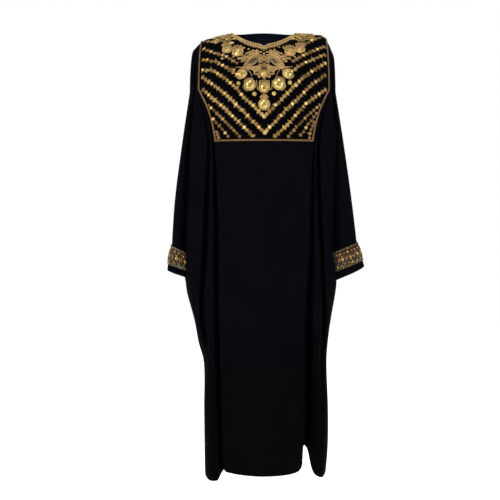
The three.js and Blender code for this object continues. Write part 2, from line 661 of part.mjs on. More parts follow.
const abaya = new THREE.Group();
function add(name, geometry, material) {
  const mesh = new THREE.Mesh(geometry, MATERIALS[material]);
  mesh.name = name;
  abaya.add(mesh);
}

add("front", shell(front.rows, front.normals, -CLOTH, 0, front), "crepe");
add("back", shell(back.rows, back.normals, -CLOTH, 0, back), "crepe");
add("yoke", shell(yokeSlice(front.rows), yokeSlice(front.normals), YOKE_LOW, YOKE_HIGH), "velvet");
add("yoke_cord", yokeCord(), "braid");
add("neck_trim", neckTrim(), "braid");
for (const side of [-1, 1]) {
  const name = sideName(side);
  add(`cuff_${name}`, cuffWall(side, 0, CUFF_SHARES.length - 1, -CLOTH, 0), "crepe");
  const { firstRing, lastRing, low, high } = CUFF_BAND;
  add(`cuff_band_${name}`, cuffWall(side, firstRing, lastRing, low, high), "trellis");
  CHEVRONS.forEach((row, i) => add(`chevron_${i + 1}_${name}`, chevron(row, side), "braid"));
  add(`leaf_${name}`, boss(side * LEAF.x, LEAF.z, LEAF_PROFILE, 12, leafOutline(side)), "stone");
}
add("palmette", boss(PALMETTE.x, PALMETTE.z, PALMETTE_PROFILE, 28, palmetteOutline), "braid");
for (const { name, x, z, r } of STONES) add(`stone_${name}`, boss(x, z, STONE_PROFILE, 14, disc(r)), "stone");

export default abaya;
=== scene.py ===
import math

import bpy
import numpy as np
from mathutils import Matrix, Vector
from mathutils.bvhtree import BVHTree


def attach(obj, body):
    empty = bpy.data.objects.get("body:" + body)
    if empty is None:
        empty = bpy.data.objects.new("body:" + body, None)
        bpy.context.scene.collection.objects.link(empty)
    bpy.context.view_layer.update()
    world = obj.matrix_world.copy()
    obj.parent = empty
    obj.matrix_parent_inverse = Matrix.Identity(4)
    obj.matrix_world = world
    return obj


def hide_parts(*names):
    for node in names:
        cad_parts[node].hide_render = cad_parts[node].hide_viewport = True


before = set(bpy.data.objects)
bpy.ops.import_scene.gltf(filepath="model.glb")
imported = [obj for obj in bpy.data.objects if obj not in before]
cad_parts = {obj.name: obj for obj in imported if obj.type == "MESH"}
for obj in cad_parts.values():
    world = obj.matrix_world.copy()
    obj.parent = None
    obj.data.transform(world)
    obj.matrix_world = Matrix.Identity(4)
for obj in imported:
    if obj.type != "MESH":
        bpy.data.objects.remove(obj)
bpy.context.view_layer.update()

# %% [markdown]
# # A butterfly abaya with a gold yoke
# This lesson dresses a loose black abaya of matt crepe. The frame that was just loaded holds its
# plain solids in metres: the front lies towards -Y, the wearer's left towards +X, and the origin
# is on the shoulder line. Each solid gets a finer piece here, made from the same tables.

MM = 0.001
chance = np.random.default_rng(11)

# %% [markdown]
# ## The camera
# The garment hangs straight in front of a long lens, so its outline keeps its true widths. The
# camera stands level with the hips and looks straight to the back.

# %% Camera
lens = bpy.data.cameras.new("camera")
lens.lens, lens.sensor_width = 81, 36
camera = bpy.data.objects.new("camera", lens)
camera.location = (-0.0435, -3.6, -0.691)
camera.rotation_euler = (math.radians(90), 0, 0)
bpy.context.scene.collection.objects.link(camera)
bpy.context.scene.camera = camera
print("camera at", tuple(round(v, 3) for v in camera.location))

# %% [markdown]
# ## The studio
# Black cloth shows its folds only by soft light that grazes them, and gold thread needs bright
# and dark places to mirror. So the room is white for the camera, dimmer for the light, and four
# broad lamps stand at the left, at the right, above and behind.

# %% Studio
def studio_world(light):
    world = bpy.data.worlds.new("studio")
    world.use_nodes = True
    nodes, links = world.node_tree.nodes, world.node_tree.links
    seen, lit = nodes["Background"], nodes.new("ShaderNodeBackground")
    mix, path = nodes.new("ShaderNodeMixShader"), nodes.new("ShaderNodeLightPath")
    seen.inputs["Color"].default_value = (1, 1, 1, 1)
    seen.inputs["Strength"].default_value = 1.0
    lit.inputs["Color"].default_value = (0.93, 0.96, 1, 1)
    lit.inputs["Strength"].default_value = light
    links.new(path.outputs["Is Camera Ray"], mix.inputs["Fac"])
    links.new(lit.outputs[0], mix.inputs[1])
    links.new(seen.outputs[0], mix.inputs[2])
    links.new(mix.outputs[0], nodes["World Output"].inputs["Surface"])
    return world

def soft_lamp(name, place, aim, size, watts, colour=(1, 1, 1)):
    light = bpy.data.lights.new(name, "AREA")
    light.shape, light.size, light.energy, light.color = "DISK", size, watts, colour
    lamp = bpy.data.objects.new(name, light)
    lamp.location = place
    lamp.rotation_euler = (Vector(aim) - Vector(place)).to_track_quat("-Z", "Y").to_euler()
    bpy.context.scene.collection.objects.link(lamp)

bpy.context.scene.world = studio_world(0.42)
bpy.context.scene.view_settings.view_transform = "Standard"
soft_lamp("lamp_left", (-2.0, -2.2, 0.9), (0, 0, -0.5), 0.9, 62, (1, 0.985, 0.96))
soft_lamp("lamp_right", (2.3, -1.7, 0.2), (0, 0, -0.6), 1.0, 26, (0.95, 0.98, 1))
soft_lamp("lamp_top", (0.1, -0.9, 1.9), (0, 0, -0.3), 0.8, 20)
soft_lamp("lamp_back", (0.4, 2.4, 0.9), (0, 0, -0.5), 1.4, 34)

def white_floor():
    bpy.ops.object.select_all(action="DESELECT")
    bpy.ops.mesh.primitive_plane_add(size=1, location=(0, 0, -1.45))
    floor = bpy.context.object
    floor.name = "floor"
    floor.data.transform(Matrix.Translation(floor.location) @ Matrix.Diagonal((16, 16, 1, 1)))
    floor.location = (0, 0, 0)
    paint = bpy.data.materials.new("floor")
    paint.use_nodes = True
    shader = paint.node_tree.nodes["Principled BSDF"]
    shader.inputs["Base Color"].default_value = (0.9, 0.9, 0.9, 1)
    shader.inputs["Roughness"].default_value = 1.0
    shader.inputs["Emission Color"].default_value = (1, 1, 1, 1)
    shader.inputs["Emission Strength"].default_value = 0.95
    floor.data.materials.append(paint)

white_floor()

# %% [markdown]
# ## Tables of the cut
# A pattern cutter keeps a garment as measures at set heights. Each row below is one height, in
# millimetres from the middle line, and a smooth curve runs through every column, so that any height
# in between is known. The folds are a lip, where the cloth turns in, a half width and a depth.

# %% Smooth curves through a table
def smooth_curve(at, values):
    t, v = np.array(at, float), np.array(values, float)
    if t[0] > t[-1]:
        t, v = t[::-1], v[::-1]
    before, after = np.r_[0, np.arange(len(v) - 1)], np.r_[np.arange(1, len(v)), len(v) - 1]
    slope = (v[after] - v[before]) / (t[after] - t[before])
    def value(x):
        x = np.clip(x, t[0], t[-1])
        i = np.clip(np.searchsorted(t, x, side="right") - 1, 0, len(t) - 2)
        h = t[i + 1] - t[i]
        s = (x - t[i]) / h
        return (
            (2 * s**3 - 3 * s**2 + 1) * v[i] + (s**3 - 2 * s**2 + s) * h * slope[i]
            + (3 * s**2 - 2 * s**3) * v[i + 1] + (s**3 - s**2) * h * slope[i + 1]
        )
    return value

def by_column(names, rows):
    names = names.split()
    columns = list(zip(*rows))
    return {name: smooth_curve(columns[0], column) for name, column in zip(names[1:], columns[1:])}

BODY = by_column("z right left front back", [
    (-190, 214, 213, 148, 112), (-270, 224, 220, 146, 108), (-356, 231, 226, 142, 106),
    (-540, 241, 221, 138, 116), (-690, 252, 221, 140, 126), (-740, 252.4, 227.4, 141, 128),
    (-772, 252.6, 232, 141.6, 129.4), (-795, 249, 233, 142, 130), (-830, 244, 229, 143, 132),
    (-910, 222, 215, 145, 134), (-985, 208, 205, 147, 136), (-1050, 191, 201, 150, 138),
    (-1195, 190.4, 206, 154, 141), (-1320, 189, 205, 157, 144), (-1420, 187, 196, 158, 146),
])
SLEEVE = by_column("z right left open bulge_right bulge_left slope_right slope_left", [
    (-190, 236, 229, 62, 14, 14, 0, 0), (-356, 260.6, 255.6, 62, 24, 22, 0, 0),
    (-540, 283.6, 281, 42, 38, 30, 8, 12), (-690, 293, 297, 3, 46, 36, 22, 30),
])
ARMHOLE = 62  # from the middle of a sleeve to its front at the bust
LEVELS = (-190, -270, -356, -540, -690, -910, -1050, -1400)
FOLDS = {  # lip, half width and depth at each level
    ("front", "right"): [
        ([203, 170, 152, 141, 138, 136, 132, 119], [1.8, 3, 5, 9, 10, 10, 10, 12],
         [0, 6, 22, 45, 55, 60, 60, 58]),
        ([208.4, 184, 166, 168, 174, 180, 160, 152], [1.5, 3, 6, 9, 10, 11, 8, 8],
         [0, 6, 16, 32, 40, 28, 0, 0]),
    ],
    ("front", "left"): [
        ([203, 170, 152, 140, 137, 121, 119, 118], [1.8, 2.5, 4, 9, 11, 17, 18, 18],
         [0, 0, 4, 25, 40, 60, 70, 72]),
        ([208.4, 181, 162, 163, 170, 176, 172, 168], [1.5, 3, 7, 9, 10, 11, 9, 8],
         [0, 8, 24, 42, 50, 35, 10, 0]),
    ],
    ("back", "right"): [
        ([150, 120, 100, 84, 78, 72, 70, 66], [8, 10, 12, 15, 16, 18, 20, 22],
         [0, 4, 10, 22, 28, 34, 36, 38]),
        ([196, 180, 166, 150, 146, 143, 134, 126], [4, 5, 8, 11, 12, 13, 12, 13],
         [0, 8, 20, 38, 46, 46, 40, 36]),
    ],
    ("back", "left"): [
        ([152, 126, 108, 96, 92, 88, 84, 78], [8, 10, 12, 14, 16, 17, 19, 21],
         [0, 5, 12, 24, 30, 36, 38, 40]),
        ([196, 178, 162, 148, 142, 138, 140, 138], [4, 5, 8, 11, 12, 14, 13, 13],
         [0, 8, 20, 36, 44, 48, 44, 40]),
    ],
}
FOLDS = {key: [[smooth_curve(LEVELS, row) for row in fold] for fold in pair] for key, pair in FOLDS.items()}
HEM = {
    "front": by_column("x z", [
        (-188, -1400), (-181, -1409), (-168, -1413), (-145, -1407), (-136, -1398), (-130, -1387),
        (-124, -1374), (-113, -1377), (-70, -1382), (0, -1385), (72, -1381), (103, -1374), (112, -1365),
        (118, -1350), (121, -1302), (132, -1308), (139, -1327), (143, -1350), (150, -1376), (162, -1392),
        (176, -1402), (186, -1404), (196, -1396),
    ])["z"],
    "back": by_column("x z", [
        (-188, -1402), (-168, -1410), (-139, -1388), (-110, -1398), (-86, -1390), (0, -1402), (96, -1386),
        (115, -1376), (122, -1338), (129, -1325), (141, -1325), (153, -1338), (176, -1392), (196, -1396),
    ])["z"],
}
BUST, YOKE_HEM, CUFF_SEAM, KNEE, HEM_LINE = -190, -356, -690, -1050, -1400
GAP, CLOTH = 0.3, 1.5  # between two cloths at a seam, and the thickness of one
print("the cut is known at", len(LEVELS), "levels")

# %% [markdown]
# ## The surface of the cloth
# Front and back are each cut in one with the sleeves, like butterfly wings. Below the bust a
# panel's cross-section is a flat middle, two long folds, the wing's turned edge and the sleeve
# beside it. Above the bust it closes like a dome towards the shoulder line, where the neckline
# cuts it off. Every point is found by a place across (a part and its share) and a height.

# %% One column of a panel, at many heights
ROUNDNESS = 2.2  # 2 gives an ellipse, and more a squarer body

def side_name(side):
    return "right" if side < 0 else "left"

def round_off(share):
    """How deep the body still is, a share of the way from its middle to its side."""
    return (1 - np.minimum(1, share) ** ROUNDNESS) ** (1 / ROUNDNESS)

def column_points(face, part, share, side, z):
    name, toward = side_name(side), -1 if face == "front" else 1
    edge, full = BODY[name](z), BODY[face](z)
    if part == "sleeve":
        opened, reach = SLEEVE["open"](z), SLEEVE[name](z)
        closing = 1 - np.clip(opened / ARMHOLE, 0, 1)
        half_ring, full_ring = math.sin(math.pi / 2 * share), (1 - math.cos(math.pi * share)) / 2
        over = half_ring + (full_ring - half_ring) * closing
        bulge = SLEEVE["bulge_" + name](z) * math.sin(math.pi * share)
        deep = opened * math.cos(math.pi / 2 * share) + bulge
        x, low = edge + (reach - edge) * over, z + over * SLEEVE["slope_" + name](z)
    else:
        (lip0, half0, deep0), (lip1, half1, deep1) = [
            [curve(z) for curve in fold] for fold in FOLDS[face, name]
        ]
        valley, low = math.sin(math.pi * share) ** 1.6, z
        end0, end1 = lip0 + 2 * half0, lip1 + 2 * half1
        x = {
            "panel": lip0 * share, "fold0": lip0 + 2 * half0 * share, "ridge": end0 + (lip1 - end0) * share,
            "fold1": lip1 + 2 * half1 * share, "edge": end1 + (edge - end1) * share,
        }[part]
        push = {"fold0": deep0 * valley, "fold1": deep1 * valley}.get(part, 0)
        opened = np.where(z >= CUFF_SEAM, SLEEVE["open"](z), 0)
        deep = opened + (full - opened) * round_off(x / edge) - push
    return np.stack([side * x, toward * np.maximum(deep, GAP / 2), low + 0 * x], -1)

NECK_HALF, YOKE_END, BACK_PANEL_END, SHOULDER_END = 102, 199, 149, 225
RIDGES = {"right": (0.235, 26, 180), "left": (0.06, 68, 180)}  # slope, rounding, and where it starts

def ridge_height(face, x):
    over = abs(x)
    if over < NECK_HALF:
        nape = 11.6 * (1 - (over / NECK_HALF) ** 2) ** 2 if face == "back" else 0
        return 0.24 * (NECK_HALF**2 - over**2) / (2 * NECK_HALF) + nape
    slope, rounding, start = RIDGES[side_name(x)]
    return -slope * (over - NECK_HALF) - rounding * (max(0, over - start) / (SHOULDER_END - start)) ** 2

def neckline(face, x):
    over = abs(x) / NECK_HALF
    if over >= 1:
        return 0
    if face == "back":
        return 0.297 * (1 - over**2) ** 0.6
    return 0.36 * (1 - over**2) ** 0.75 + 0.035 * max(0, 1 - abs(x) / 14)

def dome_points(face, part, share, side, order, drop):
    low = column_points(face, part, share, side, np.array(float(BUST)))
    panel_end = YOKE_END if face == "front" else BACK_PANEL_END
    across = panel_end * share if part == "panel" else panel_end + (SHOULDER_END - panel_end) * order
    x = side * across
    top, start = ridge_height(face, x), neckline(face, x)
    turn = math.pi / 2 * (start + (1 - start) * drop)
    outward = abs(x) / SHOULDER_END
    power = 0.65 + 0.25 * outward**3 if face == "front" else 1.3 - 0.4 * outward**2
    y = low[1] * np.sin(turn)
    y = np.minimum(y, -GAP / 2) if face == "front" else np.maximum(y, GAP / 2)
    z = top + (BUST - top) * (1 - np.cos(turn)) ** power
    return np.stack([x + (low[0] - x) * np.sin(turn), y, z], -1)

# %% The whole panel as rows of points
PANEL_COLUMNS, FOLD_COLUMNS, RIDGE_COLUMNS, SLEEVE_COLUMNS = 34, 14, 5, 22

def stations():
    """Every place across a panel: its part, the share of that part, and its side."""
    even = lambda n: [(i + 1) / n for i in range(n)]
    half = [
        ("panel", share) for share in even(PANEL_COLUMNS)
    ] + [("fold0", share) for share in even(FOLD_COLUMNS)]
    half += [
        ("ridge", share) for share in even(RIDGE_COLUMNS)
    ] + [("fold1", share) for share in even(FOLD_COLUMNS)]
    half += [("edge", 1 - (1 - share) ** 1.8) for share in even(FOLD_COLUMNS)]
    half += [("sleeve", share) for share in even(SLEEVE_COLUMNS)]
    right = [(part, share, -1) for part, share in half][::-1]
    return right + [("panel", 0, 1)] + [(part, share, 1) for part, share in half]

DROPS = np.linspace(0, 1, 34)[:-1]
TO_YOKE_HEM, TO_CUFF = np.linspace(BUST, YOKE_HEM, 20), np.linspace(YOKE_HEM, CUFF_SEAM, 34)[1:]
HEIGHTS = np.r_[TO_YOKE_HEM, TO_CUFF, np.linspace(CUFF_SEAM, KNEE, 32)[1:]]
HEM_SHARES = np.linspace(0, 1, 30)[1:]
YOKE_ROWS = len(DROPS) + len(TO_YOKE_HEM)
CUFF_ROW = YOKE_ROWS + len(TO_CUFF) - 1

def panel_points(face):
    across = stations()
    beyond = sum(1 for part, share, side in across if side > 0 and part != "panel")
    columns = []
    for i, (part, share, side) in enumerate(across):
        from_end = i if side < 0 else len(across) - 1 - i
        order = 0 if part == "panel" else 1 - from_end / beyond
        body_z = HEIGHTS if part != "sleeve" else np.maximum(HEIGHTS, CUFF_SEAM)
        hanging = "panel" if part == "sleeve" else part
        hem_x = column_points(face, hanging, share, side, np.array(float(HEM_LINE)))[0]
        hem_z = KNEE + (float(HEM[face](hem_x)) - KNEE) * HEM_SHARES
        columns.append(np.concatenate([
            dome_points(face, part, share, side, order, DROPS),
            column_points(face, part, share, side, body_z),
            column_points(face, part, share, side, hem_z),
        ]))
    points = np.stack(columns, 1)
    is_sleeve = np.array([part == "sleeve" for part, share, side in across])
    live = np.ones((len(points) - 1, len(across) - 1), bool)
    live[CUFF_ROW:, is_sleeve[:-1] | is_sleeve[1:]] = False
    return points, live

# %% [markdown]
# ## Soft creases
# Real crepe is never smooth: it drags from the bust to the side, ripples under its own weight and
# breaks where the arm bends. Each crease is listed as a soft trough or ridge along a line on the
# panel. It fades out at both ends, and at the seams, which must stay together.

# %% The creases, listed one by one
CREASES = {  # from x, z, to x, z, half width, height (troughs below zero), bow
    "front": [
        (-96, -372, -104, -900, 12, -2.2, 5), (-74, -372, -84, -1180, 15, 1.8, -6),
        (-46, -380, -40, -760, 13, -1.6, 4), (-18, -372, -24, -1020, 17, 1.6, 5),
        (22, -376, 14, -700, 12, -1.5, -5), (48, -372, 58, -1140, 16, 1.9, 6),
        (84, -374, 92, -860, 12, -2.4, -4), (104, -420, 112, -1240, 9, 2.2, 3),
        (-60, -900, -52, -1380, 15, -1.8, -4), (-6, -980, 6, -1385, 18, 1.5, 6),
        (40, -1000, 34, -1385, 12, -1.7, 3), (-112, -700, -108, -1370, 8, 2.4, -3),
        (-186, -210, -214, -560, 8, -3, 8), (-206, -130, -246, -600, 9, 3.2, -10),
        (-222, -300, -262, -640, 7, -2.6, 6), (-240, -420, -278, -670, 8, 2.4, 5),
        (-178, -480, -210, -900, 9, -2.6, -8), (-196, -640, -226, -960, 8, 2.6, 9),
        (-158, -900, -184, -1300, 8, 2.2, 6), (-214, -760, -176, -1120, 9, -2.4, -9),
        (-236, -730, -200, -960, 7, 2.0, 6), (192, -170, 232, -520, 9, 3.4, -8),
        (206, -240, 258, -610, 8, -3.0, 9), (226, -300, 276, -640, 8, 3.0, -6),
        (196, -420, 214, -780, 8, -2.8, 5), (238, -560, 268, -676, 6, -2.6, 4),
        (168, -620, 206, -1000, 9, 2.4, -8), (214, -800, 178, -1140, 9, -2.4, 8),
        (186, -1000, 192, -1380, 8, 2.0, -4), (150, -1150, 158, -1370, 7, -2.0, 4),
        (-190, -600, -250, -700, 8, 2.2, -7), (186, -560, 244, -650, 8, 2.4, 8),
        (-140, -380, -176, -520, 7, 2.2, 5), (142, -380, 182, -540, 7, 2.4, -5),
        (-120, -560, -60, -640, 18, 0.9, 8), (60, -520, 118, -620, 16, 0.9, -6),
    ],
    "back": [
        (0, -160, 6, -720, 16, 2.0, 5), (-30, -200, -36, -900, 13, -2.2, -5),
        (34, -190, 44, -820, 14, -2.4, 6), (-62, -240, -58, -1000, 13, 2.4, 7),
        (66, -240, 76, -1080, 12, 2.6, -6), (0, -760, -10, -1390, 17, -2.2, 8),
        (-40, -900, -34, -1390, 14, 2.4, -6), (46, -940, 40, -1380, 15, 2.2, 5),
        (-90, -60, -130, -300, 14, 2.4, 8), (96, -60, 134, -300, 14, 2.4, -8),
        (-40, -60, -70, -210, 16, -1.8, 5), (40, -60, 74, -210, 16, -1.8, -5),
        (-190, -180, -226, -560, 9, -3.2, 8), (-206, -140, -250, -600, 9, 3.2, -9),
        (-232, -380, -272, -660, 8, 2.8, 6), (190, -180, 232, -540, 9, -3.0, -8),
        (206, -140, 256, -600, 9, 3.4, 8), (232, -360, 276, -650, 8, 2.6, -6),
        (-176, -560, -212, -980, 9, 2.6, 9), (178, -560, 206, -1000, 9, 2.6, -9),
        (-150, -900, -176, -1380, 9, -2.4, 6), (160, -900, 190, -1380, 9, -2.4, -6),
        (-120, -1000, -116, -1390, 8, 2.4, -4), (112, -980, 108, -1380, 8, 2.2, 4),
        (-226, -760, -190, -1060, 8, -2.2, -8), (222, -780, 196, -1080, 8, -2.2, 8),
    ],
}

def smooth_step(value):
    value = np.clip(value, 0, 1)
    return value * value * (3 - 2 * value)

def crease_height(face, x, z):
    height = np.zeros_like(x)
    for ax, az, bx, bz, wide, high, bow in CREASES[face]:
        length = math.hypot(bx - ax, bz - az)
        along = ((x - ax) * (bx - ax) + (z - az) * (bz - az)) / length**2
        off = ((x - ax) * (bz - az) - (z - az) * (bx - ax)) / length
        off = off - bow * np.sin(math.pi * np.clip(along, 0, 1)) - 1.5 * np.sin(9 * along)
        fade = smooth_step(along * 4) * smooth_step((1 - along) * 3)
        height += high * np.exp(-((off / wide) ** 2)) * fade
    # a low ripple lies over all the cloth that hangs free: in front that is below the yoke
    ripple = np.sin(
        x / 11 + 1.3 * np.sin(z / 170)
    ) * np.sin(z / 93 + x / 60) + 0.6 * np.sin(x / 6.1 + z / 140)
    return height + 0.35 * ripple * smooth_step((-z - 360) / 60 if face == "front" else (-z - 60) / 80)

# %% [markdown]
# ## From points to cloth
# Cloth has two sides and a cut edge. So a grid of points becomes a wall: an outer layer, an inner
# layer a millimetre and a half behind it, and a rim along every edge. Its map counts metres across
# and down the cloth, so a weave keeps its true size on every fold.

# %% Normals and the map of a cloth
def grid_normals(points, live, flip, ring=False):
    if ring:
        points = np.concatenate([points, points[:, :1]], 1)
    a, b = points[1:, 1:] - points[:-1, :-1], points[1:, :-1] - points[:-1, 1:]
    face = np.cross(b, a) * flip * live[..., None]
    normals = np.zeros_like(points)
    for rows in (slice(0, -1), slice(1, None)):
        for cols in (slice(0, -1), slice(1, None)):
            normals[rows, cols] += face
    if ring:
        normals[:, 0] += normals[:, -1]
        normals = normals[:, :-1]
    return normals / np.maximum(np.linalg.norm(normals, axis=-1, keepdims=True), 1e-9)

def cloth_map(points):
    across = np.zeros(points.shape[:2])
    across[:, 1:] = np.cumsum(np.linalg.norm(np.diff(points, axis=1), axis=-1), axis=1)
    across -= across[:, points.shape[1] // 2][:, None]
    down = np.zeros(points.shape[:2])
    down[1:] = np.cumsum(np.linalg.norm(np.diff(points, axis=0), axis=-1), axis=0)
    return np.stack([across, -down], -1) * MM

# %% A wall of cloth from a grid of points
# above this height the inner layer is the crepe painted lighter and bluer, as painted light inside the
# neckline
NECK_INSIDE = -150  # the second paint shows on the inner layer above this height

def grid_quads(ids):
    return np.stack([ids[:-1, :-1], ids[1:, :-1], ids[1:, 1:], ids[:-1, 1:]], -1)

def wall(name, points, normals, low, high, paints, live=None, flip=1, ring=False):
    """From low to high, in millimetres along the normals. A ring closes on its first column."""
    rows, cols = points.shape[:2]
    ids = np.arange(rows * cols).reshape(rows, cols)
    if ring:
        ids = np.concatenate([ids, ids[:, :1]], 1)
    live = np.ones((rows - 1, ids.shape[1] - 1), bool) if live is None else live
    quads = grid_quads(ids)[live]
    quads = quads if flip > 0 else quads[:, ::-1]
    count = rows * cols
    edges = np.concatenate([np.stack([quads[:, i], quads[:, (i + 1) % 4]], -1) for i in range(4)])
    codes = edges[:, 0] * count + edges[:, 1]
    rim = edges[~np.isin(edges[:, 1] * count + edges[:, 0], codes)]
    rim = np.stack([rim[:, 1], rim[:, 0], rim[:, 0] + count, rim[:, 1] + count], -1)
    faces = np.concatenate([quads, quads[:, ::-1] + count, rim])
    shape = np.concatenate([(points + normals * level).reshape(-1, 3) for level in (high, low)]) * MM
    used, faces = np.unique(faces, return_inverse=True)
    mesh = bpy.data.meshes.new(name)
    mesh.from_pydata(shape[used].tolist(), [], faces.reshape(-1, 4).tolist())
    mesh.polygons.foreach_set("use_smooth", [True] * len(mesh.polygons))
    near_neck = points.reshape(-1, 3)[quads, 2].mean(1) > NECK_INSIDE
    inner = np.r_[np.zeros(len(quads)), near_neck, np.zeros(len(rim))].astype(np.int32)
    over_map = cloth_map(points)
    flat = np.concatenate([over_map.reshape(-1, 2)] * 2)[used]
    layer = mesh.uv_layers.new(name="cloth")
    layer.data.foreach_set("uv", flat[np.ravel(faces)].astype(np.float32).ravel())
    to_edge = over_map[..., 1] - over_map[-1, :, 1][None]
    to_hem = mesh.attributes.new("to_hem", "FLOAT", "POINT")
    to_hem.data.foreach_set("value", np.concatenate([to_edge.ravel()] * 2)[used].astype(np.float32))
    for paint in paints:
        mesh.materials.append(paint)
    if len(paints) > 1:
        mesh.polygons.foreach_set("material_index", inner)
    piece = bpy.data.objects.new(name, mesh)
    bpy.context.scene.collection.objects.link(piece)
    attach(piece, "root")
    return piece

# %% [markdown]
# ## Black crepe
# Crepe is woven from hard-twisted yarn, so it has a fine pebbled grain and almost no shine, only a
# faint bluish bloom where a fold turns away. The grain and the weave are one small node group on
# the cloth's map, used again for the velvet with other values.

# %% Node helpers and the weave group
def material(name, colour, roughness):
    paint = bpy.data.materials.new(name)
    paint.use_nodes = True
    shader = paint.node_tree.nodes["Principled BSDF"]
    shader.inputs["Base Color"].default_value = (*colour, 1)
    shader.inputs["Roughness"].default_value = roughness
    return paint, paint.node_tree.nodes, paint.node_tree.links, shader

def node(nodes, kind, **values):
    made = nodes.new("ShaderNode" + kind)
    for key, value in values.items():
        if hasattr(made, key):
            setattr(made, key, value)
        else:
            made.inputs[key.replace("_", " ")].default_value = value
    return made

def group(name, inputs, outputs):
    tree = bpy.data.node_groups.new(name, "ShaderNodeTree")
    for title, kind, value in inputs:
        socket = tree.interface.new_socket(title, in_out="INPUT", socket_type=kind)
        if value is not None:
            socket.default_value = value
    for title, kind in outputs:
        tree.interface.new_socket(title, in_out="OUTPUT", socket_type=kind)
    return tree, tree.nodes.new("NodeGroupInput"), tree.nodes.new("NodeGroupOutput")

def weave_group():
    tree, given, out = group(
        "weave",
        [("Map", "NodeSocketVector", None), ("Threads per metre", "NodeSocketFloat", 900.0),
         ("Dark", "NodeSocketColor", (0, 0, 0, 1)), ("Light", "NodeSocketColor", (1, 1, 1, 1))],
        [("Color", "NodeSocketColor"), ("Height", "NodeSocketFloat"), ("Cloud", "NodeSocketFloat")],
    )
    nodes, links = tree.nodes, tree.links
    scale = node(nodes, "VectorMath", operation="SCALE")
    links.new(given.outputs["Map"], scale.inputs[0])
    links.new(given.outputs["Threads per metre"], scale.inputs["Scale"])
    pebble = node(nodes, "TexVoronoi", Scale=0.42, Randomness=0.9)
    twill = node(nodes, "TexWave", bands_direction="DIAGONAL", Scale=0.16, Distortion=1.4, Detail=1.0)
    cloud = node(nodes, "TexNoise", Scale=9.0, Detail=3.0)
    for made in (pebble, twill):
        links.new(scale.outputs[0], made.inputs["Vector"])
    links.new(given.outputs["Map"], cloud.inputs["Vector"])
    height = node(nodes, "Math", operation="MULTIPLY_ADD")
    links.new(twill.outputs["Fac"], height.inputs[0])
    height.inputs[1].default_value = 0.45
    links.new(pebble.outputs["Distance"], height.inputs[2])
    share = node(nodes, "Math", operation="MULTIPLY")
    links.new(height.outputs[0], share.inputs[0])
    links.new(cloud.outputs["Fac"], share.inputs[1])
    colour = node(nodes, "Mix", data_type="RGBA")
    links.new(share.outputs[0], colour.inputs["Factor"])
    links.new(given.outputs["Dark"], colour.inputs[6])
    links.new(given.outputs["Light"], colour.inputs[7])
    links.new(colour.outputs[2], out.inputs["Color"])
    links.new(height.outputs[0], out.inputs["Height"])
    links.new(cloud.outputs["Fac"], out.inputs["Cloud"])
    return tree

WEAVE = weave_group()

def woven(nodes, links, shader, threads, dark, light, bump):
    where = node(nodes, "UVMap", uv_map="cloth")
    weave = nodes.new("ShaderNodeGroup")
    weave.node_tree = WEAVE
    weave.inputs["Threads per metre"].default_value = threads
    weave.inputs["Dark"].default_value = (*dark, 1)
    weave.inputs["Light"].default_value = (*light, 1)
    links.new(where.outputs[0], weave.inputs["Map"])
    links.new(weave.outputs["Color"], shader.inputs["Base Color"])
    relief = node(nodes, "Bump", Strength=0.5, Distance=bump)
    links.new(weave.outputs["Height"], relief.inputs["Height"])
    links.new(relief.outputs["Normal"], shader.inputs["Normal"])
    return weave, relief

# %% Crepe, with its stitched hem
def painted_shade_to_hem(nodes, links, colour):
    """Painted shade: the black is darker and less blue towards the hem, where less sky light falls, and
    darker still on the folds at its sides.
    """
    place, axes = node(nodes, "TexCoord"), node(nodes, "SeparateXYZ")
    low = node(nodes, "MapRange", interpolation_type="SMOOTHSTEP", From_Min=-0.85, From_Max=-1.2)
    aside = node(nodes, "Math", operation="ABSOLUTE")
    side = node(nodes, "MapRange", From_Min=0.09, From_Max=0.16)
    both = node(nodes, "Math", operation="MULTIPLY")
    links.new(place.outputs["Object"], axes.inputs[0])
    links.new(axes.outputs["Z"], low.inputs["Value"])
    links.new(axes.outputs["X"], aside.inputs[0])
    links.new(aside.outputs[0], side.inputs["Value"])
    links.new(low.outputs[0], both.inputs[0])
    links.new(side.outputs[0], both.inputs[1])
    # painted shade: first low on the skirt, then on the side folds down there
    for mask, shade in ((low, (1, 0.98, 0.68, 1)), (both, (0.6, 0.62, 0.72, 1))):
        tone = node(nodes, "Mix", data_type="RGBA", blend_type="MULTIPLY")
        tone.inputs[7].default_value = shade
        links.new(mask.outputs[0], tone.inputs["Factor"])
        links.new(colour, tone.inputs[6])
        colour = tone.outputs[2]
    return colour

def stitched_hem(nodes, links, relief):
    """A line of fine stitches follows the hem, and the turned cloth under it stands a little proud."""
    hem = node(nodes, "Attribute", attribute_name="to_hem")
    band = node(nodes, "MapRange", interpolation_type="SMOOTHSTEP", From_Min=0.0192, From_Max=0.0184)
    line = node(nodes, "Math", operation="COMPARE")
    line.inputs[1].default_value, line.inputs[2].default_value = 0.0172, 0.0005
    dash = node(nodes, "TexWave", bands_direction="X", Scale=95.0)
    where = node(nodes, "UVMap", uv_map="cloth")
    dashes = node(nodes, "Math", operation="MULTIPLY")
    total = node(nodes, "Math", operation="MULTIPLY_ADD")
    links.new(hem.outputs["Fac"], band.inputs["Value"])
    links.new(hem.outputs["Fac"], line.inputs[0])
    links.new(where.outputs[0], dash.inputs["Vector"])
    links.new(dash.outputs["Fac"], dashes.inputs[0])
    links.new(line.outputs[0], dashes.inputs[1])
    links.new(dashes.outputs[0], total.inputs[0])
    total.inputs[1].default_value = -0.8
    links.new(band.outputs[0], total.inputs[2])
    turned = node(nodes, "Bump", Strength=0.8, Distance=0.0006)
    links.new(total.outputs[0], turned.inputs["Height"])
    links.new(relief.outputs["Normal"], turned.inputs["Normal"])
    return turned.outputs["Normal"]

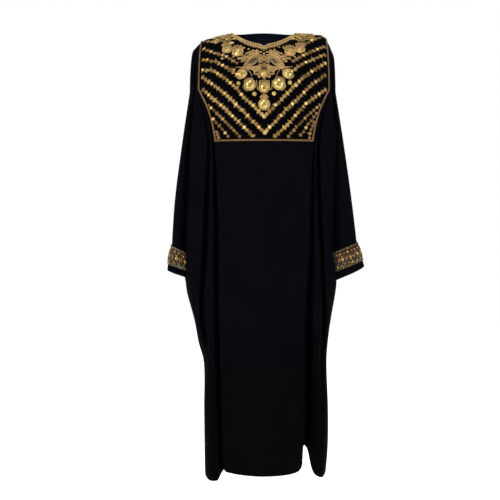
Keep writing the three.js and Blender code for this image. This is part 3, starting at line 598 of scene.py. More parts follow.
def crepe_cloth(name, dark, light):
    paint, nodes, links, shader = material(name, dark, 0.62)
    weave, relief = woven(nodes, links, shader, 950, dark, light, 0.00012)
    # the crepe's colour carries painted shade towards the hem and on its low side folds
    links.new(painted_shade_to_hem(nodes, links, weave.outputs["Color"]), shader.inputs["Base Color"])
    links.new(stitched_hem(nodes, links, relief), shader.inputs["Normal"])
    rough = node(nodes, "MapRange", From_Min=0.2, From_Max=0.8, To_Min=0.56, To_Max=0.72)
    links.new(weave.outputs["Cloud"], rough.inputs["Value"])
    links.new(rough.outputs[0], shader.inputs["Roughness"])
    shader.inputs["Sheen Weight"].default_value = 0.004
    shader.inputs["Sheen Roughness"].default_value = 0.35
    shader.inputs["Sheen Tint"].default_value = (0.7, 0.78, 1, 1)
    shader.inputs["Specular IOR Level"].default_value = 0.002
    return paint

CREPE = crepe_cloth("crepe", (0.0015, 0.0015, 0.0025), (0.0029, 0.0028, 0.0045))
# the same crepe painted lighter and bluer, as painted light on the inside seen through the neckline
CREPE_PAINTED_LIGHT_INSIDE = crepe_cloth("crepe_painted_light_inside", (0.006, 0.009, 0.016), (0.012, 0.018, 0.032))
print("crepe made with", len(CREPE.node_tree.nodes), "nodes")

# %% [markdown]
# ## Front and back
# The two big panels could be left to a cloth simulation, but their folds must fall where the
# wearer's pose puts them. So they are hung by the tables and then moved along their normals by
# the listed creases.

# %% Hang the panels
def hung_panel(face):
    flip = 1 if face == "front" else -1
    points, live = panel_points(face)
    normals = grid_normals(points, live, flip)
    last = points.shape[1] - 1
    away = np.minimum(np.arange(last + 1), last - np.arange(last + 1))
    held_sleeve, held_body = smooth_step(away / 6), smooth_step((away - SLEEVE_COLUMNS) / 8)
    blend = smooth_step((np.arange(len(points)) - (CUFF_ROW - 14)) / 8)[:, None]
    hold = held_sleeve[None] * (1 - blend) + held_body[None] * blend
    hold = hold * smooth_step(np.arange(len(points)) / 8)[:, None]
    points = points + normals * (crease_height(face, points[..., 0], points[..., 2]) * hold)[..., None]
    points[..., 1] = -flip * np.maximum(-flip * points[..., 1], GAP / 2)
    normals = grid_normals(points, live, flip)
    sleeve_rows, body_rows = slice(0, CUFF_ROW + 1), slice(CUFF_ROW + 1, None)
    for rows, inset in ((sleeve_rows, 0), (body_rows, SLEEVE_COLUMNS)):
        normals[rows, [inset, last - inset], 1] = 0
    normals[0, np.abs(points[0, :, 0]) > NECK_HALF - 1, 1] = 0
    normals /= np.maximum(np.linalg.norm(normals, axis=-1, keepdims=True), 1e-9)
    return points, live, normals, flip

def area_of(piece):
    return sum(face.area for face in piece.data.polygons) / 2

def hang(name, face):
    points, live, normals, flip = hung_panel(face)
    piece = wall(name, points, normals, -CLOTH, 0, [CREPE, CREPE_PAINTED_LIGHT_INSIDE], live, flip)
    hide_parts(face)
    print(name, len(piece.data.polygons), "faces,", round(area_of(piece), 3), "square metres of cloth")
    return piece, points, normals

front_cloth, front_points, front_normals = hang("front_cloth", "front")
back_cloth, back_points, back_normals = hang("back_cloth", "back")

# %% [markdown]
# ## The velvet yoke
# The yoke is a second cloth laid on the front from the shoulder to below the bust. It takes the
# front's own points, moved out, so it can't cut through. Velvet swallows light from the front and
# glows only at its edges, which is what sheen does in a shader.

# %% Lay the yoke on the front
def velvet_cloth():
    paint, nodes, links, shader = material("velvet", (0.0006, 0.0006, 0.0009), 0.9)
    woven(nodes, links, shader, 1500, (0.0004, 0.0004, 0.0006), (0.0012, 0.0012, 0.0017), 0.0002)
    shader.inputs["Sheen Weight"].default_value = 0.004
    shader.inputs["Sheen Roughness"].default_value = 0.5
    shader.inputs["Specular IOR Level"].default_value = 0.02
    return paint

VELVET = velvet_cloth()
YOKE_TOP = 1.5  # the outer face of the velvet, above the front panel
MIDDLE = front_points.shape[1] // 2
yoke_columns = slice(MIDDLE - PANEL_COLUMNS, MIDDLE + PANEL_COLUMNS + 1)
yoke_points = front_points[:YOKE_ROWS, yoke_columns]
yoke_normals = front_normals[:YOKE_ROWS, yoke_columns]
yoke_cloth = wall("yoke_cloth", yoke_points, yoke_normals, GAP, YOKE_TOP, [VELVET])
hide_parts("yoke")
print("yoke", round(area_of(yoke_cloth), 3), "square metres")

# %% [markdown]
# ## The cuffs
# Each cuff is a short tube that widens to its rim and hangs a little lower in front. Its top edge
# is tucked up inside the sleeve, as a seam allowance is, so no gap shows at the seam.

# %% Turn the cuffs
CUFFS = {
    side: by_column("share inner outer deep z_inner z_outer dip", rows)
    for side, rows in {
        -1: [
            (0, 252, 293, 46, -690, -668, 0), (0.07, 254.6, 294.4, 46.5, -696, -674, 0.2),
            (0.17, 254.8, 296, 47, -704, -683, 0.5), (0.5, 254.8, 303, 48, -734, -714, 1.5),
            (1, 255, 308, 49, -772, -753, 3),
        ],
        1: [
            (0, 221, 297, 36, -690, -660, 0), (0.07, 224.4, 299.6, 35.6, -696, -666, 0.4),
            (0.17, 226.4, 303, 35, -705, -675, 1), (0.5, 230, 312, 33, -736, -704, 3),
            (1, 235, 322, 31, -779, -741, 6),
        ],
    }.items()
}
ROUND = 96

def cuff_points(side, shares, columns=ROUND):
    shares = np.array(shares)
    size = {key: c(shares)[:, None] for key, c in CUFFS[side].items()}
    angle = np.linspace(0, 2 * math.pi, columns, endpoint=False)[None]
    across = (1 - np.cos(angle)) / 2
    x = size["inner"] + (size["outer"] - size["inner"]) * across
    tilt = (size["z_outer"] - size["z_inner"]) / (size["outer"] - size["inner"])
    level = lambda x: size["z_inner"] + tilt * (x - size["inner"]) - size["dip"] * np.sin(angle) - 2 * GAP
    wave = 0.9 * np.sin(3 * angle + 0.6) * shares[:, None] + 0.5 * np.sin(7 * angle + 4 * shares[:, None])
    y = -(size["deep"] + wave) * np.sin(angle)
    # the inner side of the front follows the body's edge and touches it
    lap_end = 1.25 if side < 0 else 1.5
    lap = smooth_step((lap_end - angle) / 0.45) * smooth_step((shares + 0.07) / 0.07)[:, None]
    body = BODY[side_name(side)](level(x)), BODY["front"](level(x))
    edge = body[0] * (1 - np.minimum(1, np.abs(y) / body[1]) ** 2.2) ** (1 / 2.2)
    x = x + (edge + 1.4 - x) * lap
    points = np.stack([side * x, y, level(x)], -1)
    return points, grid_normals(points, np.ones((len(shares) - 1, columns), bool), side, ring=True)

def cuff(side):
    name = side_name(side)
    shares = np.linspace(0, 1, 26)
    points, normals = cuff_points(side, shares)
    tuck = points[0] - normals[0] * 2.4 + np.array([0, 0, 7.0])
    points = np.concatenate([tuck[None], points])
    normals = np.concatenate([normals[:1], normals])
    piece = wall(f"cuff_cloth_{name}", points, normals, -CLOTH, 0, [CREPE], flip=side, ring=True)
    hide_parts(f"cuff_{name}")
    print(piece.name, round(area_of(piece), 4), "square metres")
    return piece

cuff_right, cuff_left = cuff(-1), cuff(1)

# %% [markdown]
# ## Finding a place on the yoke
# An embroiderer draws the design on paper and pricks it through on to the cloth. Here a ray does
# the pricking: shot from the front at a drawn x and z, it finds the velvet. Four more rays round
# it give an even normal, so that a stone sits level.

# %% Prick a point through to the velvet
def velvet_tree():
    rows, cols = yoke_points.shape[:2]
    ids = np.arange(rows * cols).reshape(rows, cols)
    quads = np.stack([ids[:-1, :-1], ids[1:, :-1], ids[1:, 1:], ids[:-1, 1:]], -1).reshape(-1, 4)
    top = (yoke_points + yoke_normals * YOKE_TOP).reshape(-1, 3)
    return BVHTree.FromPolygons(top.tolist(), quads.tolist())

VELVET_TREE = velvet_tree()
AHEAD, SIDEWAYS = Vector((0, 1, 0)), np.array([1.0, 0, 0])

def struck(x, z):
    hit = VELVET_TREE.ray_cast(Vector((x, -400, z)), AHEAD)[0]
    if hit is None:
        hit = VELVET_TREE.find_nearest(Vector((x, -60, z)))[0]
    return np.array(hit)

def on_yoke(x, z, reach=5):
    middle = struck(x, z)
    across = struck(x + reach, z) - struck(x - reach, z)
    up = struck(x, z + reach) - struck(x, z - reach)
    normal = np.cross(across, up)
    length = np.linalg.norm(normal)
    normal = normal / length if length > 1e-6 else np.array([0.0, -1, 0])
    return middle, normal

YOKE_SIDE = {side: yoke_points[:, -1 if side > 0 else 0] for side in (-1, 1)}

def yoke_edge(side, z):
    column = YOKE_SIDE[side]
    return abs(float(np.interp(-z, -column[:, 2], column[:, 0])))

print("the velvet at the pendant lies at y =", round(float(struck(0, -241)[1]), 1), "mm")

# %% [markdown]
# ## Motifs, modelled once
# Bead embroidery repeats a handful of small shapes hundreds of times. Each one is modelled once
# from a primitive, flat on the bench with its face up, and kept as a pattern. Copies are then laid
# on the cloth by position, direction and size, and joined to one mesh.

# %% Keep a shape as a pattern
def start_shape(add, **options):
    bpy.ops.object.select_all(action="DESELECT")
    add(**options)
    bpy.ops.object.mode_set(mode="EDIT")
    bpy.ops.mesh.select_mode(type="FACE")
    return bpy.context.object

def pick(shape, test):
    """Selects the vertices that the test is true of, in edit mode."""
    bpy.ops.object.mode_set(mode="OBJECT")
    for part in (shape.data.polygons, shape.data.edges, shape.data.vertices):
        part.foreach_set("select", [False] * len(part))
    for vertex in shape.data.vertices:
        vertex.select = bool(test(vertex.co))
    bpy.ops.object.mode_set(mode="EDIT")
    bpy.ops.mesh.select_mode(type="VERT")

def as_pattern(shape):
    """The shape's vertices, faces and face slots, taken off the bench."""
    bpy.ops.object.mode_set(mode="OBJECT")
    mesh = shape.data
    co = np.array([v.co for v in mesh.vertices])
    faces = [tuple(face.vertices) for face in mesh.polygons]
    bpy.data.objects.remove(shape, do_unlink=True)
    bpy.data.meshes.remove(mesh)
    return {"co": co, "faces": faces, "slot": [0] * len(faces)}

def joined(*patterns):
    co, faces, slot = [], [], []
    for pattern in patterns:
        start = sum(len(c) for c in co)
        co.append(pattern["co"])
        faces += [tuple(i + start for i in face) for face in pattern["faces"]]
        slot += pattern["slot"]
    return {"co": np.concatenate(co), "faces": faces, "slot": slot}

def moved(pattern, by=(0, 0, 0), turn=0.0, size=(1, 1, 1), slot=None):
    c, s = math.cos(turn), math.sin(turn)
    co = pattern["co"] * np.array(size)
    co = np.stack([co[:, 0] * c - co[:, 1] * s, co[:, 0] * s + co[:, 1] * c, co[:, 2]], -1) + np.array(by)
    return {**pattern, "co": co, "slot": pattern["slot"] if slot is None else [slot] * len(pattern["slot"])}

def laid(pattern, place, normal, along, size=1.0):
    """A copy with its face along the normal and its x axis along a direction."""
    along = along - normal * np.dot(along, normal)
    along = along / np.linalg.norm(along)
    side = np.cross(normal, along)
    co = pattern["co"] * size
    return {
        "co": place + co[:, :1] * along + co[:, 1:2] * side + co[:, 2:] * normal,
        "flat": pattern["co"][:, :2], "faces": pattern["faces"], "slot": pattern["slot"],
    }

# %% Strew copies as one mesh
def strewn(name, copies, paints, replaces=(), facets=False):
    co, flat, faces, slots, tones = [], [], [], [], []
    start = 0
    for copy in copies:
        tone = chance.uniform(0, 1)
        co.append(copy["co"])
        flat.append(copy["flat"])
        faces += [tuple(i + start for i in face) for face in copy["faces"]]
        slots += copy["slot"]
        # with facets, every face gets a random tone of its own: painted reflections of the foil behind the
        # stone
        tones += [chance.uniform(0, 1) if facets else tone for _ in copy["faces"]]
        start += len(copy["co"])
    mesh = bpy.data.meshes.new(name)
    mesh.from_pydata((np.concatenate(co) * MM).tolist(), [], faces)
    mesh.polygons.foreach_set("material_index", slots)
    mesh.polygons.foreach_set("use_smooth", [not facets] * len(faces))
    layer = mesh.uv_layers.new(name="thread")
    corner = np.zeros(len(mesh.loops), np.int32)
    mesh.loops.foreach_get("vertex_index", corner)
    layer.data.foreach_set("uv", (np.concatenate(flat) * MM)[corner].astype(np.float32).ravel())
    mesh.attributes.new("tone", "FLOAT", "FACE").data.foreach_set("value", np.array(tones, np.float32))
    for paint in paints:
        mesh.materials.append(paint)
    piece = bpy.data.objects.new(name, mesh)
    bpy.context.scene.collection.objects.link(piece)
    if not facets:
        mesh.set_sharp_from_angle(angle=math.radians(50))
    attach(piece, "root")
    if replaces:
        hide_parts(*replaces)
    return piece

# %% The motifs
def star_motif(points, radius, waist, high):
    """A stitched star or flower: every second corner is drawn in, and the middle is padded."""
    shape = start_shape(
        bpy.ops.mesh.primitive_circle_add, vertices=2 * points, radius=radius, fill_type="NGON"
    )
    start, step = math.atan2(*shape.data.vertices[0].co.yx), math.pi / points
    pick(shape, lambda co: co.length > 1e-6 and round((math.atan2(*co.yx) - start) / step) % 2 == 1)
    bpy.ops.transform.resize(value=(waist, waist, 1))
    bpy.ops.mesh.select_all(action="SELECT")
    bpy.ops.mesh.extrude_region_move(TRANSFORM_OT_translate={"value": (0, 0, 0.6 * high)})
    bpy.ops.mesh.inset(thickness=radius * 0.2, depth=0.4 * high)
    bpy.ops.mesh.inset(thickness=radius * 0.22, depth=-0.15 * high)
    bpy.ops.mesh.poke(offset=0.2 * high)
    return as_pattern(shape)

def petal_motif(long, wide, high):
    """A pointed petal in padded satin stitch, with a groove down its middle."""
    shape = start_shape(bpy.ops.mesh.primitive_circle_add, vertices=12, radius=1, fill_type="NGON")
    bpy.ops.transform.resize(value=(long / 2, wide / 2, 1))
    pick(shape, lambda co: abs(co.x) > 0.8 * long / 2)
    bpy.ops.transform.resize(value=(1.12, 0.25, 1))
    bpy.ops.mesh.select_all(action="SELECT")
    bpy.ops.mesh.extrude_region_move(TRANSFORM_OT_translate={"value": (0, 0, 0.5 * high)})
    bpy.ops.mesh.inset(thickness=wide * 0.14, depth=0.5 * high)
    bpy.ops.mesh.inset(thickness=wide * 0.18, depth=-0.22 * high)
    return as_pattern(shape)

def bead_motif(radius, high, rings=5, around=8):
    shape = start_shape(
        bpy.ops.mesh.primitive_uv_sphere_add, segments=around, ring_count=rings, radius=radius
    )
    pick(shape, lambda co: co.z < -0.3 * radius)
    bpy.ops.mesh.delete(type="VERT")
    bpy.ops.mesh.select_all(action="SELECT")
    bpy.ops.transform.resize(value=(1, 1, high / radius))
    return as_pattern(shape)

def sequin_motif(radius):
    """A thin cupped disc, held by a bead on its hole."""
    shape = start_shape(bpy.ops.mesh.primitive_circle_add, vertices=12, radius=radius, fill_type="NGON")
    bpy.ops.mesh.extrude_region_move(TRANSFORM_OT_translate={"value": (0, 0, 0.9)})
    bpy.ops.mesh.inset(thickness=radius * 0.3, depth=-0.35)
    bpy.ops.mesh.inset(thickness=radius * 0.35, depth=-0.2)
    return joined(as_pattern(shape), moved(bead_motif(radius * 0.3, radius * 0.3, 5, 6), (0, 0, 0.6)))

def cut_stone(radius, sides=10):
    """A rose-cut stone: each ring of corners stands half a step on from the one below."""
    shape = start_shape(bpy.ops.mesh.primitive_circle_add, vertices=sides, radius=radius, fill_type="NGON")
    bpy.ops.mesh.extrude_region_move(TRANSFORM_OT_translate={"value": (0, 0, 0.16 * radius)})
    for shrink, rise in ((0.8, 0.17), (0.66, 0.1)):
        bpy.ops.mesh.extrude_region_move(TRANSFORM_OT_translate={"value": (0, 0, rise * radius)})
        bpy.ops.transform.resize(value=(shrink, shrink, 1))
        bpy.ops.transform.rotate(value=math.pi / sides, orient_axis="Z", center_override=(0, 0, 0))
    bpy.ops.mesh.select_all(action="SELECT")
    bpy.ops.mesh.quads_convert_to_tris(quad_method="SHORTEST_DIAGONAL")
    return as_pattern(shape)

STAR = star_motif(6, 8.2, 0.5, 2.1)
FLOWER = star_motif(5, 4.2, 0.55, 1.7)
DIAMOND = star_motif(4, 9.4, 0.48, 2.1)
PETAL = petal_motif(13, 5.4, 1.9)
BEAD = bead_motif(1.0, 0.9)
SEQUIN = sequin_motif(3.1)
STONE = cut_stone(1.0)
UPRIGHT = 1.57  # a quarter turn, across the line that a motif follows
for title, motif in {
    "star": STAR, "diamond": DIAMOND, "petal": PETAL, "bead": BEAD, "sequin": SEQUIN, "stone": STONE
}.items():
    print(title, len(motif["faces"]), "faces")

# %% [markdown]
# ## Gold, foil and thread
# Gold thread is a silk core wound with flat metal, so it shines in short streaks across the
# stitch. Sequins are smooth metal. The big stones are clear, with foil behind them: facets next to
# each other mirror different things, so every face gets a tone of its own.

# %% Metal finishes
def tone_ramp(nodes, links, colours):
    tone = node(nodes, "Attribute", attribute_name="tone")
    ramp = nodes.new("ShaderNodeValToRGB")
    while len(ramp.color_ramp.elements) < len(colours):
        ramp.color_ramp.elements.new(0.5)
    for i, colour in enumerate(colours):
        ramp.color_ramp.elements[i].position = i / (len(colours) - 1)
        ramp.color_ramp.elements[i].color = (*colour, 1)
    links.new(tone.outputs["Fac"], ramp.inputs["Fac"])
    return ramp

def thread_group():
    tree, given, out = group(
        "metal thread",
        [
            ("Map", "NodeSocketVector", None), ("Strands per metre", "NodeSocketFloat", 2200.0),
            ("Tint", "NodeSocketColor", (1, 1, 1, 1))
        ],
        [("Color", "NodeSocketColor"), ("Height", "NodeSocketFloat"), ("Roughness", "NodeSocketFloat")],
    )
    nodes, links = tree.nodes, tree.links
    scale = node(nodes, "VectorMath", operation="SCALE")
    links.new(given.outputs["Map"], scale.inputs[0])
    links.new(given.outputs["Strands per metre"], scale.inputs["Scale"])
    strand = node(nodes, "TexWave", bands_direction="X", Scale=0.32, Distortion=0.6, Detail=1.0)
    patina = node(nodes, "TexNoise", Scale=0.12, Detail=3.0)
    for made in (strand, patina):
        links.new(scale.outputs[0], made.inputs["Vector"])
    dark = node(nodes, "Mix", data_type="RGBA", blend_type="MULTIPLY")
    dark.inputs["Factor"].default_value = 0.75
    shade = node(nodes, "MapRange", From_Min=0.0, From_Max=0.7, To_Min=0.3, To_Max=1.0)
    links.new(strand.outputs["Fac"], shade.inputs["Value"])
    links.new(given.outputs["Tint"], dark.inputs[6])
    links.new(shade.outputs[0], dark.inputs[7])
    age = node(nodes, "Mix", data_type="RGBA", blend_type="MULTIPLY")
    links.new(patina.outputs["Fac"], age.inputs["Factor"])
    links.new(dark.outputs[2], age.inputs[6])
    age.inputs[7].default_value = (0.62, 0.5, 0.36, 1)
    rough = node(nodes, "MapRange", From_Min=0.3, From_Max=0.75, To_Min=0.28, To_Max=0.5)
    links.new(patina.outputs["Fac"], rough.inputs["Value"])
    links.new(age.outputs[2], out.inputs["Color"])
    links.new(strand.outputs["Fac"], out.inputs["Height"])
    links.new(rough.outputs[0], out.inputs["Roughness"])
    return tree

THREAD = thread_group()

def thread_finish(name, colours, strands=2200, metal=0.75, shine=0.5):
    paint, nodes, links, shader = material(name, colours[0], 0.4)
    where = node(nodes, "UVMap", uv_map="thread")
    ramp = tone_ramp(nodes, links, colours)
    thread = nodes.new("ShaderNodeGroup")
    thread.node_tree = THREAD
    thread.inputs["Strands per metre"].default_value = strands
    links.new(where.outputs[0], thread.inputs["Map"])
    links.new(ramp.outputs["Color"], thread.inputs["Tint"])
    links.new(thread.outputs["Color"], shader.inputs["Base Color"])
    links.new(thread.outputs["Roughness"], shader.inputs["Roughness"])
    shader.inputs["Metallic"].default_value = metal
    shader.inputs["Specular IOR Level"].default_value = shine
    bump = node(nodes, "Bump", Strength=0.7, Distance=0.0003)
    links.new(thread.outputs["Height"], bump.inputs["Height"])
    links.new(bump.outputs["Normal"], shader.inputs["Normal"])
    return paint

def foil_finish(name, colours, roughness=0.16, metal=0.85, coat=0.6):
    paint, nodes, links, shader = material(name, colours[0], roughness)
    ramp = tone_ramp(nodes, links, colours)
    where = node(nodes, "TexCoord")
    cloud = node(nodes, "TexNoise", Scale=220.0, Detail=2.0)
    links.new(where.outputs["Object"], cloud.inputs["Vector"])
    tint = node(nodes, "Mix", data_type="RGBA", blend_type="OVERLAY")
    tint.inputs["Factor"].default_value = 0.5
    links.new(ramp.outputs["Color"], tint.inputs[6])
    links.new(cloud.outputs["Fac"], tint.inputs[7])
    links.new(tint.outputs[2], shader.inputs["Base Color"])
    bump = node(nodes, "Bump", Strength=0.25, Distance=0.0002)
    links.new(cloud.outputs["Fac"], bump.inputs["Height"])
    links.new(bump.outputs["Normal"], shader.inputs["Normal"])
    shader.inputs["Metallic"].default_value = metal
    shader.inputs["Coat Weight"].default_value = coat
    shader.inputs["Coat Roughness"].default_value = 0.06
    return paint

GOLD_THREAD = thread_finish(
    "gold_thread", [(0.18, 0.1, 0.03), (0.4, 0.245, 0.085), (0.6, 0.41, 0.155), (0.3, 0.17, 0.06)]
)
PALE_THREAD = thread_finish("pale_gold_thread", [(0.54, 0.36, 0.125), (0.8, 0.57, 0.24)], metal=0.4)
TRIM_THREAD = thread_finish("trim_gold_thread", [(0.7, 0.48, 0.17), (0.95, 0.72, 0.33)], metal=0.3)
DARK_THREAD = thread_finish("dark_gold_thread", [(0.1, 0.055, 0.02), (0.2, 0.12, 0.05)])
# gold thread for the low braid rows, painted darker as shade where the yoke turns away from the light
SHADED_LOW_THREAD = thread_finish(
    "shaded_gold_thread", [(0.1, 0.052, 0.016), (0.24, 0.135, 0.046), (0.38, 0.235, 0.088), (0.17, 0.09, 0.033)]
)
BROWN_THREAD = thread_finish("brown_gold_thread", [(0.33, 0.205, 0.092), (0.52, 0.35, 0.17)])
BRIGHT_GOLD = foil_finish(
    "bright_gold", [(0.6, 0.34, 0.07), (0.78, 0.54, 0.18), (0.82, 0.63, 0.3)], 0.44, 0.9, coat=0.1
)
# sequins and beads of the low braid rows, painted darker as shade
SHADED_LOW_GOLD = foil_finish(
    "shaded_sequin_gold", [(0.28, 0.15, 0.035), (0.42, 0.26, 0.08), (0.6, 0.42, 0.16)], 0.46, 0.9, coat=0.1
)
STONE_GOLD = foil_finish(
    "stone_gold",
    [(0.2, 0.12, 0.02), (0.5, 0.36, 0.09), (0.68, 0.52, 0.17), (0.36, 0.23, 0.045), (0.8, 0.67, 0.34)], 0.33,
    coat=0.15
)
STONE_HONEY = foil_finish(
    "stone_honey",
    [(0.2, 0.09, 0.02), (0.5, 0.28, 0.06), (0.7, 0.47, 0.16), (0.36, 0.18, 0.04), (0.82, 0.62, 0.3)], 0.31,
    coat=0.15
)
GREY_SILK = thread_finish("grey_silk", [(0.08, 0.075, 0.06), (0.12, 0.115, 0.095)], 1700, 0.25)
print("metal finishes:", GOLD_THREAD.name, BRIGHT_GOLD.name, STONE_GOLD.name)

# %% [markdown]
# ## Cords
# The border of a yoke is a laid cord: two or three strands of gold thread, twisted, and stitched
# down along the edge. Each strand is a tube that winds round the cord's middle line.

# %% Twist a cord along a path
def even_steps(path, step):
    path = np.array(path, float)
    length = np.r_[0, np.cumsum(np.linalg.norm(np.diff(path, axis=0), axis=1))]
    at = np.linspace(0, length[-1], max(3, int(length[-1] / step) + 1))
    return np.stack([np.interp(at, length, path[:, i]) for i in range(path.shape[1])], -1), at

def run_of(path):
    """The length of a path, in metres."""
    return round(float(np.linalg.norm(np.diff(path, axis=0), axis=1).sum()) * MM, 3)

def twisted_cord(path, normals, radius, *, pitch, strands=2, sides=5, lift=None):
    """Copies for strewn(): one tube a strand, round the middle line that the path gives."""
    line, at = even_steps(np.concatenate([path, normals], 1), pitch / 7)
    middle, normal = line[:, :3], line[:, 3:]
    normal /= np.linalg.norm(normal, axis=1, keepdims=True)
    middle = middle + normal * (radius if lift is None else lift)
    ahead = np.gradient(middle, axis=0)
    ahead /= np.maximum(np.linalg.norm(ahead, axis=1, keepdims=True), 1e-9)
    side = np.cross(ahead, normal)
    thick, copies = radius * (0.56 if strands > 1 else 1.0), []
    for strand in range(strands):
        turn = 2 * math.pi * (at / pitch + strand / strands)
        out = np.cos(turn)[:, None] * normal + np.sin(turn)[:, None] * side
        centre = middle + out * (radius - thick) if strands > 1 else middle
        angle = np.linspace(0, 2 * math.pi, sides, endpoint=False)
        ring = np.cos(angle)[None, :, None] * normal[:, None] + np.sin(angle)[None, :, None] * side[:, None]
        co = (centre[:, None] + ring * thick).reshape(-1, 3)
        flat = np.stack(np.broadcast_arrays(at[:, None], angle[None] * thick), -1).reshape(-1, 2)
        faces = [
            (
                i * sides + j, i * sides + (j + 1) % sides, (i + 1) * sides + (j + 1) % sides,
                (i + 1) * sides + j
            )
            for i in range(len(at) - 1) for j in range(sides)
        ]
        faces += [tuple(range(sides))[::-1], tuple(range(len(co) - sides, len(co)))]
        copies.append({"co": co, "flat": flat, "faces": faces, "slot": [0] * len(faces)})
    return copies

def drawn(points, step=4.0):
    """A drawn line of x and z, pricked through to the velvet at even steps."""
    line, _ = even_steps(points, step)
    spots = [on_yoke(x, z) for x, z in line]
    return np.array([p for p, _ in spots]), np.array([n for _, n in spots])

# %% The cord round the yoke
def edge_line(side, inset, rows):
    """Down one side of the yoke, a set distance in from its edge."""
    inward = yoke_points[:, 2 if side < 0 else -3] - YOKE_SIDE[side]
    inward = inward / np.linalg.norm(inward, axis=1, keepdims=True)
    normal = yoke_normals[:, 0 if side < 0 else -1]
    return (YOKE_SIDE[side] + inward * inset + normal * YOKE_TOP)[rows], normal[rows]

def yoke_border(inset):
    bottom, sides = YOKE_HEM + inset, []
    for side in (-1, 1):
        line, normal = edge_line(side, inset, slice(1, YOKE_ROWS))
        keep = line[:, 2] > bottom
        sides.append((line[keep], normal[keep]))
    (right, right_n), (left, left_n) = sides
    hem, hem_n = drawn([(right[-1, 0], bottom), (left[-1, 0], bottom)], 6)
    return np.concatenate([right, hem, left[::-1]]), np.concatenate([right_n, hem_n, left_n[::-1]])

border = []
for inset in (1.6, 4.4):
    path, normals = yoke_border(inset)
    border += twisted_cord(path, normals, 1.4, pitch=6.0)
yoke_cord = strewn("yoke_border_cord", border, [BROWN_THREAD], ["yoke_cord"])
print("border cord:", len(yoke_cord.data.polygons), "faces, each cord", run_of(path), "m long")

# %% The trim of the neckline
def neck_line(down):
    """Along the front neckline, a set distance down the cloth from its edge."""
    at_neck = np.flatnonzero(np.abs(yoke_points[0, :, 0]) <= NECK_HALF + 1)
    path, normals = [], []
    for i in at_neck:
        column, normal = yoke_points[:, i] + yoke_normals[:, i] * YOKE_TOP, yoke_normals[:, i]
        length = np.r_[0, np.cumsum(np.linalg.norm(np.diff(column, axis=0), axis=1))]
        path.append([np.interp(down, length, column[:, k]) for k in range(3)])
        normals.append([np.interp(down, length, normal[:, k]) for k in range(3)])
    return np.array(path), np.array(normals)

trim = []
for down, radius in ((1.6, 1.5), (5.6, 1.2), (14.6, 1.3)):
    path, normals = neck_line(down)
    trim += twisted_cord(path, normals, radius, pitch=6.0)
for down, pitch, motif, size in (
    (10.1, 8.6, DIAMOND, (0.36, 0.42, 0.9)), (18.6, 9.5, PETAL, (0.5, 1.0, 0.9))
):
    path, normals = neck_line(down)
    line, _ = even_steps(np.concatenate([path, normals], 1), pitch)
    for i, spot in enumerate(line[1:-1]):
        ahead, normal = line[i + 2, :3] - line[i, :3], spot[3:] / np.linalg.norm(spot[3:])
        slot = 1 if motif is DIAMOND else 0
        stitched = moved(motif, turn=UPRIGHT + chance.normal(0, 0.1), size=size, slot=slot)
        trim.append(laid(stitched, spot[:3], normal, ahead))
        if motif is DIAMOND:
            bead = moved(BEAD, (0, 0, 0.9), size=(1.6, 1.6, 1.4), slot=2)
            trim.append(laid(bead, spot[:3], normal, ahead))
neck_length = run_of(neck_line(1.6)[0])
neck_trim = strewn("neckline_cords", trim, [TRIM_THREAD, PALE_THREAD, BRIGHT_GOLD], ["neck_trim"])
print("neckline:", len(neck_trim.data.polygons), "faces,", neck_length, "m along its edge")

# %% [markdown]
# ## Chevron rows
# Rows of braid run down from the shoulders and meet in a V. Each is a fine cord with stitched
# stars strung on it and a bright sequin at every few, which is what catches the eye.

# %% Lay the chevrons
CHEVRONS = {  # distance from the middle and height, from the outer end inwards: right, then left
    1: ([(189, -28), (150, -37)], [(189, -13), (162, -26), (128, -45)]),
    2: ([(189, -60), (151, -78), (123, -86), (84, -114)], [(189, -52), (119, -88), (90, -107)]),
    3: ([(189, -97), (151, -105), (131, -118), (84, -151)], [(189, -81), (126, -112), (84, -141)]),
    4: ([(189, -131), (159, -135), (127, -158), (89, -190), (64, -221), (31, -251), (8, -274)],
        [(189, -110), (125, -155), (98, -182), (31, -251), (8, -274)]),
    5: ([(190, -155), (128, -203), (62, -267), (8, -323)], [(189, -149), (142, -185), (92, -237), (8, -323)]),
    6: (
        [(189, -195), (130, -247), (67, -308), (36, -341)], [(189, -194), (128, -241), (72, -305), (34, -341)]
    ),
    7: ([(176, -238), (108, -308), (75, -341)], [(182, -233), (125, -285), (74, -341)]),
    8: ([(166, -275), (111, -341)], [(170, -258), (112, -337)]),
    9: ([(157, -305), (140, -345)], [(160, -281), (146, -317), (139, -345)]),
}

STAR_PITCH, EDGE_CLEAR, RIDGE_CLEAR, HEM_CLEAR = 12.4, 8.5, 7, 9
# from LOW_ROW down, the braid's gold is painted darker, as shade
LOW_ROW = 7  # from this row down the braid is narrower and duller

def chevron_line(number, side):
    """A row's line in x and z, kept clear of the yoke's edges."""
    line, _ = even_steps(CHEVRONS[number][0 if side < 0 else 1], 1)
    inside = lambda x, z: x < yoke_edge(side, z) - EDGE_CLEAR and z > YOKE_HEM + HEM_CLEAR
    below = lambda x, z: z < ridge_height("front", side * x) - RIDGE_CLEAR
    return [(side * x, z) for x, z in line if inside(x, z) and below(x, z)]

